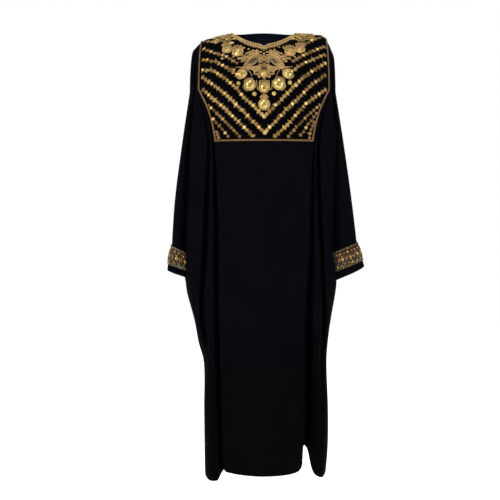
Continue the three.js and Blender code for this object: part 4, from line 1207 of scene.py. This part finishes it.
def chevron(number, side):
    path = chevron_line(number, side)
    spots, _ = even_steps(path, STAR_PITCH)
    spread = 1.06 if number < LOW_ROW else 0.88
    copies = twisted_cord(*drawn(path, 4), 1.1, pitch=4.8, sides=4)
    for i, (x, z) in enumerate(spots):
        place, normal = on_yoke(x, z)
        ahead = on_yoke(*spots[min(i + 1, len(spots) - 1)])[0] - on_yoke(*spots[max(0, i - 1)])[0]
        kind = (i + number) % 4
        size = (spread * chance.uniform(0.74, 0.95), spread * chance.uniform(0.86, 1.16), 1)
        aside = (0, chance.normal(0, 0.9), 0.4)
        motif = moved(STAR if kind % 2 else DIAMOND, aside, turn=chance.normal(0, 0.3), size=size)
        copies.append(laid(motif, place, normal, ahead))
        if kind % 2:
            bead = moved(BEAD, (0, 0, 1.4), size=(1.5, 1.5, 1.3), slot=1)
            copies.append(laid(bead, place, normal, ahead))
        else:
            across = chance.uniform(1.15, 1.5) if kind == 0 else chance.uniform(0.7, 0.95)
            copies.append(laid(moved(SEQUIN, (0, 0, 1.6), slot=1), place, normal, ahead, across))
        if i + 1 < len(spots) and chance.uniform(0, 1) < 0.7:
            between, leans = on_yoke((x + spots[i + 1][0]) / 2, (z + spots[i + 1][1]) / 2)
            for turn in (1.0, -1.0):
                lean, size = turn + chance.normal(0, 0.2), (0.36 * spread, 0.5 * spread, 0.9)
                leaf = moved(PETAL, (0.4, 1.9 * turn, 0.2), turn=lean, size=size)
                copies.append(laid(leaf, between, leans, ahead))
    # the last row is so short that it has no solid of its own
    solids = [f"chevron_{number}_{side_name(side)}"] if number < len(CHEVRONS) else []
    # the low rows take the gold that is painted darker as shade
    paints = [GOLD_THREAD, BRIGHT_GOLD] if number < LOW_ROW else [SHADED_LOW_THREAD, SHADED_LOW_GOLD]
    return strewn(f"braid_row_{number}_{side_name(side)}", copies, paints, solids)

rows = [chevron(number, side) for number in CHEVRONS for side in (-1, 1)]
print("braid rows:", len(rows), "with", sum(len(row.data.polygons) for row in rows), "faces")
for number in CHEVRONS:
    lengths = [run_of(drawn(chevron_line(number, side), 4)[0]) for side in (-1, 1)]
    print("row", number, "right and left", lengths, "m")

# %% [markdown]
# ## Stones in their settings
# Every big stone is held by a rim of gold cord and a ring of beads. The stone stands highest, so
# it is laid first and the rim closes round its girdle. The stones near the shoulders are honey.

# %% Set the stones
STONES = {
    "pendant": [(0, 0, -244, 17)], "centre": [(0, 0, -193, 15.5)],
    "inner": [(-1, -44, -184, 17), (1, 45, -181, 18)],
    "outer": [(-1, -69, -149, 15), (1, 73, -148, 15.5)], "collar": [(-1, -82, -76, 16.5), (1, 81, -76, 16)],
    "shoulder": [(-1, -115, -65, 15), (1, 113, -65, 15)],
}

HONEY_ABOVE = -100

def ring_path(x, z, radius, steps=40, first=0.0, last=2 * math.pi):
    place, normal = on_yoke(x, z, 8)
    across = SIDEWAYS - normal * normal[0]
    across /= np.linalg.norm(across)
    up, angle = np.cross(normal, across), np.linspace(first, last, steps + 1)[:, None]
    path = place + radius * (np.cos(angle) * across + np.sin(angle) * up)
    return path, np.repeat(normal[None], steps + 1, 0), place, normal, across

def stone_setting(name, x, z, radius):
    path, normals, place, normal, across = ring_path(x, z, radius - 1.6)
    size = (radius - 3.0, radius - 3.0, radius * 0.95)
    gem = laid(moved(STONE, (0, 0, 0.05), turn=chance.uniform(0, 1), size=size), place, normal, across)
    foil = STONE_HONEY if z > HONEY_ABOVE else STONE_GOLD
    stone = strewn(f"gem_{name}", [gem], [foil], [f"stone_{name}"], facets=True)
    rim = twisted_cord(path, normals, 1.3, pitch=5.2)
    rim += twisted_cord(ring_path(x, z, radius - 3.6)[0], normals, 1.5, strands=1, pitch=6, lift=1.2)
    up = np.cross(normal, across)
    count = int(2 * math.pi * (radius + 0.4) / 2.9)
    for i in range(count):
        angle = 2 * math.pi * i / count
        spot = place + (radius + 0.4) * (math.cos(angle) * across + math.sin(angle) * up)
        rim.append(laid(moved(BEAD, size=(1.25, 1.25, 1.3), slot=1), spot, normal, across))
    return stone, strewn(f"setting_{name}", rim, [PALE_THREAD, BRIGHT_GOLD], ())

for title, places in STONES.items():
    for side, x, z, radius in places:
        stone_setting(f"{title}_{side_name(side)}" if side else title, x, z, radius)

# %% [markdown]
# ## Leaves in satin stitch
# Broad leaves are worked in padded satin stitch: threads lie side by side over a cotton core and
# slant from the vein to the edge. Such a leaf bends with the cloth below it, so it isn't a stamped
# copy. Each of its points is pricked through by itself, and a cord follows its outline.

# %% Work a leaf
THREAD_STEP = 2.2  # between the points of a fine cord

def leaf_width(share, blunt):
    """A low number brings the widest place nearer the root's end and rounds the tip."""
    return np.sin(math.pi * np.clip(share, 0.004, 0.996) ** blunt) ** (0.85 if blunt == 1 else 0.55)

def turned(x, z, turn, a, b):
    c, s = math.cos(math.radians(turn)), math.sin(math.radians(turn))
    return x + a * c - b * s, z + a * s + b * c

def satin_leaf(x, z, long, wide, turn, high=2.0, bow=0.0, blunt=1.0, lift=0.0, slot=0, steps=(18, 8)):
    """A domed leaf with a groove for its vein. Turn is in degrees, up from the +x direction."""
    share, v = np.linspace(0, 1, steps[0] + 1)[:, None], np.linspace(-1, 1, steps[1] + 1)[None]
    a = (share - 0.5) * long + 0 * v
    b = v * wide / 2 * leaf_width(share, blunt) + bow * np.sin(math.pi * share)
    dome = np.sqrt(1 - 0.96 * v**2) * (1 - 0.32 * np.exp(-((v / 0.22) ** 2)))
    up = lift + high * dome * (0.4 + 0.6 * np.sin(math.pi * share) ** 0.5)
    across, height = turned(x, z, turn, a, b)
    spots = [on_yoke(p, q) for p, q in zip(across.ravel(), height.ravel())]
    place, normal = (np.array(part) for part in zip(*spots))
    rows, cols = a.shape
    ids = np.arange(rows * cols).reshape(rows, cols)
    quads = np.stack([ids[:-1, :-1], ids[1:, :-1], ids[1:, 1:], ids[:-1, 1:]], -1).reshape(-1, 4)
    top = [tuple(map(int, quad)) for quad in quads]
    under = [tuple(i + rows * cols for i in quad[::-1]) for quad in top]
    edge = np.r_[ids[:-1, 0], ids[-1, :-1], ids[:0:-1, -1], ids[0, :0:-1]]
    edge, count = [int(i) for i in edge], rows * cols
    rim = [(i, i + count, j + count, j) for i, j in zip(edge, edge[1:] + edge[:1])]
    flat = np.stack([a + 0.7 * np.abs(b), b], -1).reshape(-1, 2)
    co = np.concatenate([place + normal * up.reshape(-1, 1), place + normal * (lift + 0.02)])
    faces = top + under + rim
    return {"co": co, "flat": np.concatenate([flat, flat]), "faces": faces, "slot": [slot] * len(faces)}

def leaf_line(x, z, long, wide, turn, bow=0.0, blunt=1.0, grow=1.0):
    share = np.linspace(0, 1, 24)
    a, b = (share - 0.5) * long * grow, wide / 2 * grow * leaf_width(share, blunt)
    middle = bow * np.sin(math.pi * share)
    px, pz = turned(x, z, turn, np.r_[a, a[::-1]], np.r_[middle + b, (middle - b)[::-1]])
    return drawn(list(zip(px, pz)), THREAD_STEP)

def painted(copies, slot):
    return [{**copy, "slot": [slot] * len(copy["slot"])} for copy in copies]

def corded_leaf(x, z, long, wide, turn, high=2.0, bow=0.0, blunt=1.0, inner=(), slot=0, cord=1.15):
    leaf = [satin_leaf(x, z, long, wide, turn, high, bow, blunt, slot=slot)]
    line = leaf_line(x, z, long, wide, turn, bow, blunt)
    leaf += painted(twisted_cord(*line, cord, pitch=3.8, sides=4, lift=cord + 0.4), 3)
    for grow in inner:
        line = leaf_line(x, z, long, wide, turn, bow, blunt, grow=grow)
        leaf += painted(twisted_cord(*line, 0.8, pitch=3.4, sides=4, lift=high * 0.95), 3)
    return leaf

# %% The wings of leaves under the neckline
LEAF_THREAD = thread_finish("leaf_thread", [(0.16, 0.085, 0.03), (0.3, 0.18, 0.065), (0.42, 0.27, 0.1)])
VELVET_THREAD = thread_finish(
    "black_thread", [(0.0006, 0.0006, 0.0012), (0.0018, 0.0017, 0.003)], metal=0.0, shine=0.03
)
WING = [  # middle, length, width, turn, height, bow, inner outlines; drawn for the wearer's left
    (36, -108, 72, 25, -38, 2.6, 1.5, (0.85, 0.7, 0.55)), (32, -80, 54, 9, -6, 2.4, 3.0, (0.5,)),
    (42, -92, 54, 8, -22, 2.2, 2, (0.5,)), (33, -129, 50, 8, -4, 2.0, -2, (0.5,)),
    (10, -105, 24, 7, -62, 2.0, 0, ()), (15, -124, 18, 6, -30, 1.8, 0, ()),
    (63, -90, 17, 6.5, 16, 2.4, 0, ()), (75, -98, 17, 6.5, -8, 2.4, 0, ()),
    (64, -106, 17, 6.5, -26, 2.4, 0, ()), (21, -138, 26, 8, -28, 2.0, 0, ()),
]
wings = [
    satin_leaf(0, -127, 84, 15, 0, 0.8, slot=5), satin_leaf(0, -104, 26, 36, 0, 0.8, slot=5, steps=(14, 10)),
    satin_leaf(0, -141, 60, 26, 0, 0.8, slot=5, steps=(16, 10))
]
for side in (-1, 1):
    for x, z, long, wide, turn, high, bow, inner in WING:
        lean = turn if side > 0 else 180 - turn
        wings += corded_leaf(side * x, z, long, wide, lean, high, side * bow, 1.0, inner)
    lens_turn = -41 if side > 0 else 221
    wings.append(satin_leaf(side * 29, -109, 34, 9.5, lens_turn, 0.6, lift=2.4, slot=4, steps=(14, 6)))
    wings.append(satin_leaf(side * 29, -109, 29, 6, lens_turn, 0.7, lift=3.0, slot=2, steps=(14, 6)))
wings += corded_leaf(0, -95, 22, 8, -90, 2.6)
wings += corded_leaf(0, -122, 13, 8, -90, 2.2)
for x, z, long, wide, turn in (
    (0, -114, 9, 6, 90), (-19, -146, 13, 7, 150), (19, -146, 13, 7, 30), (0, -132, 11, 5, 0)
):
    wings.append(satin_leaf(x, z, long, wide, turn, 0.5, lift=1.4, slot=4, steps=(8, 4)))
for x, z, size in (
    (0, -82, 2.6), (12, -99, 1.7), (-12, -99, 1.7), (31, -135, 1.8), (-31, -135, 1.8), (-22, -133, 1.6),
    (22, -133, 1.6)
):
    wings.append(laid(moved(BEAD, size=(size, size, size * 1.6), slot=1), *on_yoke(x, z), SIDEWAYS))
wing_leaves = strewn(
    "wing_leaves", wings, [LEAF_THREAD, BRIGHT_GOLD, GREY_SILK, TRIM_THREAD, VELVET_THREAD, DARK_THREAD],
    ["leaf_left", "leaf_right"]
)
print("wings:", len(wing_leaves.data.polygons), "faces")

# %% The fan below them
def fan(x, z, inner, outer, wide, turns, squash=0.92, high=2.0):
    copies = []
    for turn in turns:
        reach = (inner + outer) / 2
        place = (x + reach * math.cos(math.radians(turn)), z + squash * reach * math.sin(math.radians(turn)))
        copies += corded_leaf(*place, outer - inner, wide, turn, high, blunt=0.8)
    return copies

fan_leaves = fan(0, -130, 16, 38, 13, (-170, -144, -117, -90, -63, -36, -10))
fan_leaves += fan(0, -226, 2, 14, 6, (158, 124, 90, 56, 22), high=2.2)
CAPS = ((-82, -76, 17.5, 40, 140), (81, -76, 17, 40, 140), (-115, -65, 16, 60, 130), (113, -65, 16, 50, 120))
for x, z, radius, first, last in CAPS:
    fan_leaves += fan(x, z, radius, radius + 9, 7, np.linspace(first, last, 5), 1.0)
ARCS = (  # middle, radius, and the degrees that a cord runs from and to
    (0, -149, 13, 20, 160), (0, -193, 20, 35, 145), (0, -193, 23.5, 45, 135), (-44, -184, 21, 60, 150),
    (45, -181, 22, 30, 120), (-69, -149, 19, 20, 110), (73, -148, 19.5, 70, 160), (-69, -149, 22.5, 30, 100),
    (73, -148, 23, 80, 150), (-44, -184, 21, 185, 250), (45, -181, 22, -70, -5), (-69, -149, 19, 190, 260),
    (73, -148, 19.5, -80, -10), (-82, -76, 19, 20, 160), (81, -76, 18.5, 20, 160), (-115, -65, 17.5, 20, 150),
    (113, -65, 17.5, 30, 160),
)
for x, z, radius, first, last in ARCS:
    arc = ring_path(x, z, radius, 26, math.radians(first), math.radians(last))
    path, normals = (np.array(part) for part in zip(*(on_yoke(p[0], p[2]) for p in arc[0])))
    fan_leaves += painted(twisted_cord(path, normals, 0.95, pitch=3.6, sides=4), 3)
STRUTS = (  # straight cords between the stones
    [(-24, -171), (-20, -200)], [(-13, -170), (-16, -200)], [(14, -170), (18, -201)],
    [(25, -171), (23, -200)],
    [(-88, -127), (-60, -129), (-36, -128)], [(88, -126), (60, -128), (36, -127)], [(-52, -128), (-37, -157)],
    [(52, -127), (37, -156)],
)
for line in STRUTS:
    fan_leaves += painted(twisted_cord(*drawn(line, 3), 1.0, pitch=3.8, sides=4), 3)
fan_piece = strewn("fan_leaves", fan_leaves, [LEAF_THREAD, BRIGHT_GOLD, GREY_SILK, TRIM_THREAD], ["palmette"])
print("fan:", len(fan_piece.data.polygons), "faces")

# %% Small stones and flowers
SMALL_STONES = [
    (-79, -179, 5.5), (-30, -212, 6.3), (30, -211, 6), (79, -177, 6), (97, -184, 6.5), (0, -281, 6.5),
    (2, -330, 6.5), (-130, -96, 4.2), (-93, -135, 4.5), (96, -133, 4.5), (0, -149, 8.5),
]
FLOWERS = (
    (-48, -65), (-34, -70), (-22, -70), (47, -58), (33, -67),
    (21, -70), (-62, -60), (61, -57), (-95, -92), (95, -92),
)
gems, rims = [], []
for x, z, radius in SMALL_STONES:
    place, normal = on_yoke(x, z)
    oval = 1.25 if radius > 8 else 1.0
    size = ((radius - 1) * oval, radius - 1, radius * 0.9)
    gem = moved(STONE, (0, 0, 0.4), turn=chance.uniform(0, 1), size=size)
    gems.append(laid(gem, place, normal, SIDEWAYS))
    angle = np.linspace(0, 2 * math.pi, 25)[:, None]
    around = np.cos(angle) * oval * SIDEWAYS + np.sin(angle) * np.cross(normal, SIDEWAYS)
    circle = place + (radius - 0.3) * around
    rims += twisted_cord(circle, np.repeat(normal[None], 25, 0), 1.0, pitch=3.6, sides=4)
for x, z in FLOWERS:
    rims.append(laid(moved(FLOWER, turn=chance.uniform(0, 1)), *on_yoke(x, z), SIDEWAYS))
    rims.append(laid(moved(BEAD, (0, 0, 1.3), size=(1.5, 1.5, 1.3), slot=1), *on_yoke(x, z), SIDEWAYS))
strewn("small_stones", gems, [STONE_GOLD], (), facets=True)
strewn("small_flowers", rims, [PALE_THREAD, BRIGHT_GOLD])
print("small stones:", len(gems), "and flowers:", len(FLOWERS))

# %% The shoulder patches
def from_ridge(x, down):
    """The place on the velvet a set way down the cloth from the shoulder ridge."""
    top = yoke_points[0, :, 0]
    i = int(np.clip(np.searchsorted(top, x) - 1, 0, len(top) - 2))
    mix, found = (x - top[i]) / (top[i + 1] - top[i]), []
    for column in (i, i + 1):
        points = yoke_points[:, column] + yoke_normals[:, column] * YOKE_TOP
        length = np.r_[0, np.cumsum(np.linalg.norm(np.diff(points, axis=0), axis=1))]
        both = np.concatenate([points, yoke_normals[:, column]], 1)
        found.append(np.array([np.interp(down, length, both[:, k]) for k in range(6)]))
    spot = found[0] * (1 - mix) + found[1] * mix
    return spot[:3], spot[3:] / np.linalg.norm(spot[3:])

PATCH_EDGE = {  # the lower edge of each patch, in x and z
    -1: [(88, -38), (104, -47), (124, -36), (155, -40), (164, -22)],
    1: [(88, -34), (107, -34), (128, -33), (160, -30), (166, -10)],
}
PATCH_FIRST, PATCH_LAST, PATCH_PITCH, PATCH_TOP, PATCH_ROW = 91, 164, 12.2, 5.5, 11.6
patches = []
for side in (-1, 1):
    edge_x, edge_z = zip(*PATCH_EDGE[side])
    for row in range(10):
        down = PATCH_TOP + PATCH_ROW * row
        for i, x in enumerate(np.arange(PATCH_FIRST + 6 * (row % 2), PATCH_LAST, PATCH_PITCH)):
            place, normal = from_ridge(side * x, down + chance.normal(0, 0.7))
            if place[2] < np.interp(x, edge_x, edge_z):
                continue
            is_diamond, lean = (i + 2 * row) % 3 == 1, chance.normal(0, 0.3)
            motif, tone = (DIAMOND, 2) if is_diamond else (STAR, 0)
            stitched = moved(motif, turn=lean, size=(0.66, 0.66, 1.1), slot=tone)
            patches.append(laid(stitched, place, normal, SIDEWAYS))
            if is_diamond:
                patches.append(laid(moved(SEQUIN, (0, 0, 1.6), slot=1), place, normal, SIDEWAYS, 1.15))
            else:
                bead = moved(BEAD, (0, 0, 1.7), size=(1.9, 1.9, 1.4), slot=1)
                patches.append(laid(bead, place, normal, SIDEWAYS))
            near, leans = from_ridge(side * (x + PATCH_PITCH / 2), down)
            petal = moved(PETAL, turn=1.1 * (-1) ** i + lean, size=(0.5, 0.55, 1), slot=2)
            patches.append(laid(petal, near, leans, SIDEWAYS))
strewn("shoulder_patches", patches, [GOLD_THREAD, BRIGHT_GOLD, TRIM_THREAD])
print("patch motifs:", len(patches))

# %% [markdown]
# ## The jewelled cuff bands
# Each cuff carries a broad band of black net, worked over with dull metal thread: cords crossing in
# a trellis, flowers with coloured stones in its spaces, and a row of petals and beads along each
# edge. The band is a second skin on the cuff, and its pattern is laid by the length round the cuff.

# %% The finishes of the bands
def net_cloth():
    paint, nodes, links, shader = material("cuff_net", (0.01, 0.009, 0.007), 0.6)
    shader.inputs["Specular IOR Level"].default_value = 0.06
    where = node(nodes, "UVMap", uv_map="cloth")
    scale = node(nodes, "VectorMath", operation="SCALE")
    scale.inputs["Scale"].default_value = 210.0
    links.new(where.outputs[0], scale.inputs[0])
    mesh = node(nodes, "TexVoronoi", feature="DISTANCE_TO_EDGE", Scale=1.0, Randomness=0.75)
    cloud = node(nodes, "TexNoise", Scale=0.5, Detail=2.0)
    for made in (mesh, cloud):
        links.new(scale.outputs[0], made.inputs["Vector"])
    thread = node(nodes, "MapRange", interpolation_type="SMOOTHSTEP", From_Min=0.1, From_Max=0.03)
    links.new(mesh.outputs["Distance"], thread.inputs["Value"])
    silver = node(nodes, "Mix", data_type="RGBA")
    silver.inputs[6].default_value, silver.inputs[7].default_value = (
        0.02, 0.012, 0.006, 1
    ), (0.09, 0.06, 0.03, 1)
    links.new(cloud.outputs["Fac"], silver.inputs["Factor"])
    colour = node(nodes, "Mix", data_type="RGBA")
    colour.inputs[6].default_value = (0.006, 0.005, 0.005, 1)
    links.new(thread.outputs[0], colour.inputs["Factor"])
    links.new(silver.outputs[2], colour.inputs[7])
    links.new(colour.outputs[2], shader.inputs["Base Color"])
    bump = node(nodes, "Bump", Strength=0.8, Distance=0.0006)
    links.new(thread.outputs[0], bump.inputs["Height"])
    links.new(bump.outputs["Normal"], shader.inputs["Normal"])
    return paint

NET = net_cloth()
SILVER_THREAD = thread_finish(
    "silver_thread",
    [
        (0.07, 0.035, 0.01), (0.22, 0.12, 0.04), (0.58, 0.44, 0.21), (0.12, 0.06, 0.02), (0.92, 0.8, 0.5),
        (0.04, 0.02, 0.008)
    ],
    metal=0.4
)
AMBER = foil_finish("amber", [(0.75, 0.2, 0.01), (0.95, 0.42, 0.02), (0.85, 0.55, 0.08)], 0.12, 0.3)
TEAL = foil_finish("teal", [(0.02, 0.16, 0.17), (0.08, 0.3, 0.3)], 0.15, 0.3)
MAUVE = foil_finish("mauve", [(0.3, 0.1, 0.22), (0.55, 0.3, 0.42)], 0.15, 0.3)
RED = foil_finish("garnet", [(0.4, 0.02, 0.03), (0.7, 0.08, 0.07)], 0.15, 0.3)
LIME = foil_finish("olive", [(0.3, 0.3, 0.03), (0.5, 0.48, 0.1)], 0.18, 0.3)
BAND_PAINTS = [SILVER_THREAD, AMBER, TEAL, MAUVE, RED, LIME]

# %% Find a place on a cuff
CUFF_TALL, NET_TOP = 92, 1.1  # the height of a cuff, and the outer face of its net above the cloth

def cuff_finder(side):
    """Finds a place on the cuff from millimetres round it and a share of its height."""
    shares, columns = np.linspace(0.03, 0.8, 34), 240
    points, normals = cuff_points(side, shares, columns)
    middle = points[len(shares) // 2]
    length = np.r_[0, np.cumsum(np.linalg.norm(np.diff(np.r_[middle, middle[:1]], axis=0), axis=1))]
    both = np.concatenate([points, normals], -1)
    both = np.concatenate([both, both[:, :1]], 1)
    def find(along, share):
        column = np.interp(along % length[-1], length, np.arange(columns + 1))
        row = np.clip((share - shares[0]) / (shares[1] - shares[0]), 0, len(shares) - 1.001)
        i, j = int(row), min(int(column), columns - 1)
        u, v = row - i, column - j
        here, beyond = (both[i, c] * (1 - u) + both[i + 1, c] * u for c in (j, j + 1))
        spot = here * (1 - v) + beyond * v
        normal = spot[3:] / np.linalg.norm(spot[3:])
        return spot[:3] + normal * NET_TOP, normal
    return find, length[-1]

def cuff_line(find, spots):
    line, _ = even_steps([(along, CUFF_TALL * share) for along, share in spots], THREAD_STEP)
    found = [find(along, height / CUFF_TALL) for along, height in line]
    return np.array([p for p, _ in found]), np.array([n for _, n in found])

# %% Lay the bands
BAND_SHARES, BAND_MIDDLE = np.linspace(0.07, 0.72, 20), 0.4

def cuff_band(side):
    name = side_name(side)
    points, normals = cuff_points(side, BAND_SHARES)
    net = wall(f"cuff_net_{name}", points, normals, GAP, NET_TOP, [NET], flip=side, ring=True)
    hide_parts(f"cuff_band_{name}")
    find, around = cuff_finder(side)
    cells = 2 * round(around / 28 / 2)
    pitch, work, lengths = around / cells, [], []
    clear = lambda along: min(along % around, -along % around) > 0.145 * around
    def run(spots, radius, pitch):
        """A cord along the band, left out where the cuff lies against the body."""
        path, normals = cuff_line(find, spots)
        keep = np.array([clear(along) for along in np.linspace(spots[0][0], spots[-1][0], len(path))])
        lengths.append(run_of(path[keep]))
        return twisted_cord(path[keep], normals[keep], radius, pitch=pitch, sides=4)
    for share in (0.082, 0.14, 0.648, 0.708):
        work += run([(along, share) for along in np.linspace(0, around, 120)], 1.0, 3.8)
    for phase in (0, 0.5):
        zigzag = [(pitch * (i / 2 + phase), BAND_MIDDLE + (0.2 if i % 2 else -0.2)) for i in range(2 * cells)]
        work += run(zigzag, 1.35, 4.6)
    def put(pattern, along, share, turn=0.0, size=1.0, slot=0, lift=0.0, stretch=(1, 1, 1)):
        if clear(along):
            place, normal = find(along, share)
            ahead = find(along + 1.5, share)[0] - find(along - 1.5, share)[0]
            work.append(laid(moved(pattern, (0, 0, lift), turn, stretch, slot), place, normal, ahead, size))
    for share in (0.111, 0.678):
        for i in range(int(around / 8)):
            along = around * i / int(around / 8)
            put(PETAL, along, share, UPRIGHT + chance.normal(0, 0.4), 0.44)
            put(BEAD, along + 4, share, 0, 1.3)
    for i in range(2 * cells):
        along, big = pitch * (i / 2 + 0.25), i % 2 == 0
        for petal in range(4):
            angle = math.pi / 2 * petal + (0 if big else 0.78)
            reach = 7.6 if big else 5.6
            height = BAND_MIDDLE + reach * math.sin(angle) / CUFF_TALL
            put(PETAL, along + reach * math.cos(angle), height, -angle, 0.54 if big else 0.42)
        stone, colour = ((4.0, 5.0, 4), 1) if big else ((3.0, 3.6, 3), (2, 4)[i // 2 % 2])
        height, lean = BAND_MIDDLE + chance.normal(0, 0.012), chance.uniform(-0.6, 0.6)
        put(STONE, along, height, lean, 1.0, colour, 0.1, stone)
        for share, turn in ((0.215, 1), (0.585, -1)):
            colour = chance.choice([1, 2, 3, 4, 5, 5])
            height, lean = share + chance.normal(0, 0.01), chance.uniform(0, 3)
            put(STONE, along + pitch / 4, height, lean, 1.0, colour, 0.2, (3.6, 2.4, 2.6))
            put(PETAL, along + pitch / 4 + 5 * turn, share + 0.01, UPRIGHT + 0.6 * turn, 0.5)
    dressed = strewn(f"cuff_work_{name}", work, BAND_PAINTS, ())
    print(dressed.name, len(dressed.data.polygons), "faces,", cells, "flowers over", round(around), "mm")
    print("its cords are", lengths, "m long")
    return net, dressed

for side in (-1, 1):
    net, dressed = cuff_band(side)

# %% [markdown]
# ## Seams
# The front and the back meet over the shoulders, along the sleeves and down the sides. A thin
# rolled seam lies along each of these lines and closes it.

# %% Sew the shoulders and the sides
def seam_line(col, rows):
    path = (front_points[rows, col] + back_points[rows, col]) / 2
    normal = front_normals[rows, col] + back_normals[rows, col]
    return path, normal / np.linalg.norm(normal, axis=1, keepdims=True)

seams, last = [], front_points.shape[1] - 1
for inset, rows in ((0, slice(3, CUFF_ROW)), (SLEEVE_COLUMNS, slice(CUFF_ROW + 2, -1))):
    for col in (inset, last - inset):
        seams += twisted_cord(*seam_line(col, rows), 1.1, strands=1, pitch=56, sides=6, lift=-0.7)
neck_start = int(np.argmax(front_points[0, :, 0] > -NECK_HALF))
for cols in (slice(0, neck_start), slice(last - neck_start + 1, None)):
    ridge = front_points[0, cols] * (1, 0, 1)
    seams += twisted_cord(ridge, front_normals[0, cols], 1.6, strands=1, pitch=56, sides=6, lift=-1.4)
    print("shoulder seam:", run_of(ridge), "m")
side_seams = strewn("side_seams", seams, [VELVET_THREAD])
print("side seams:", len(side_seams.data.polygons), "faces")
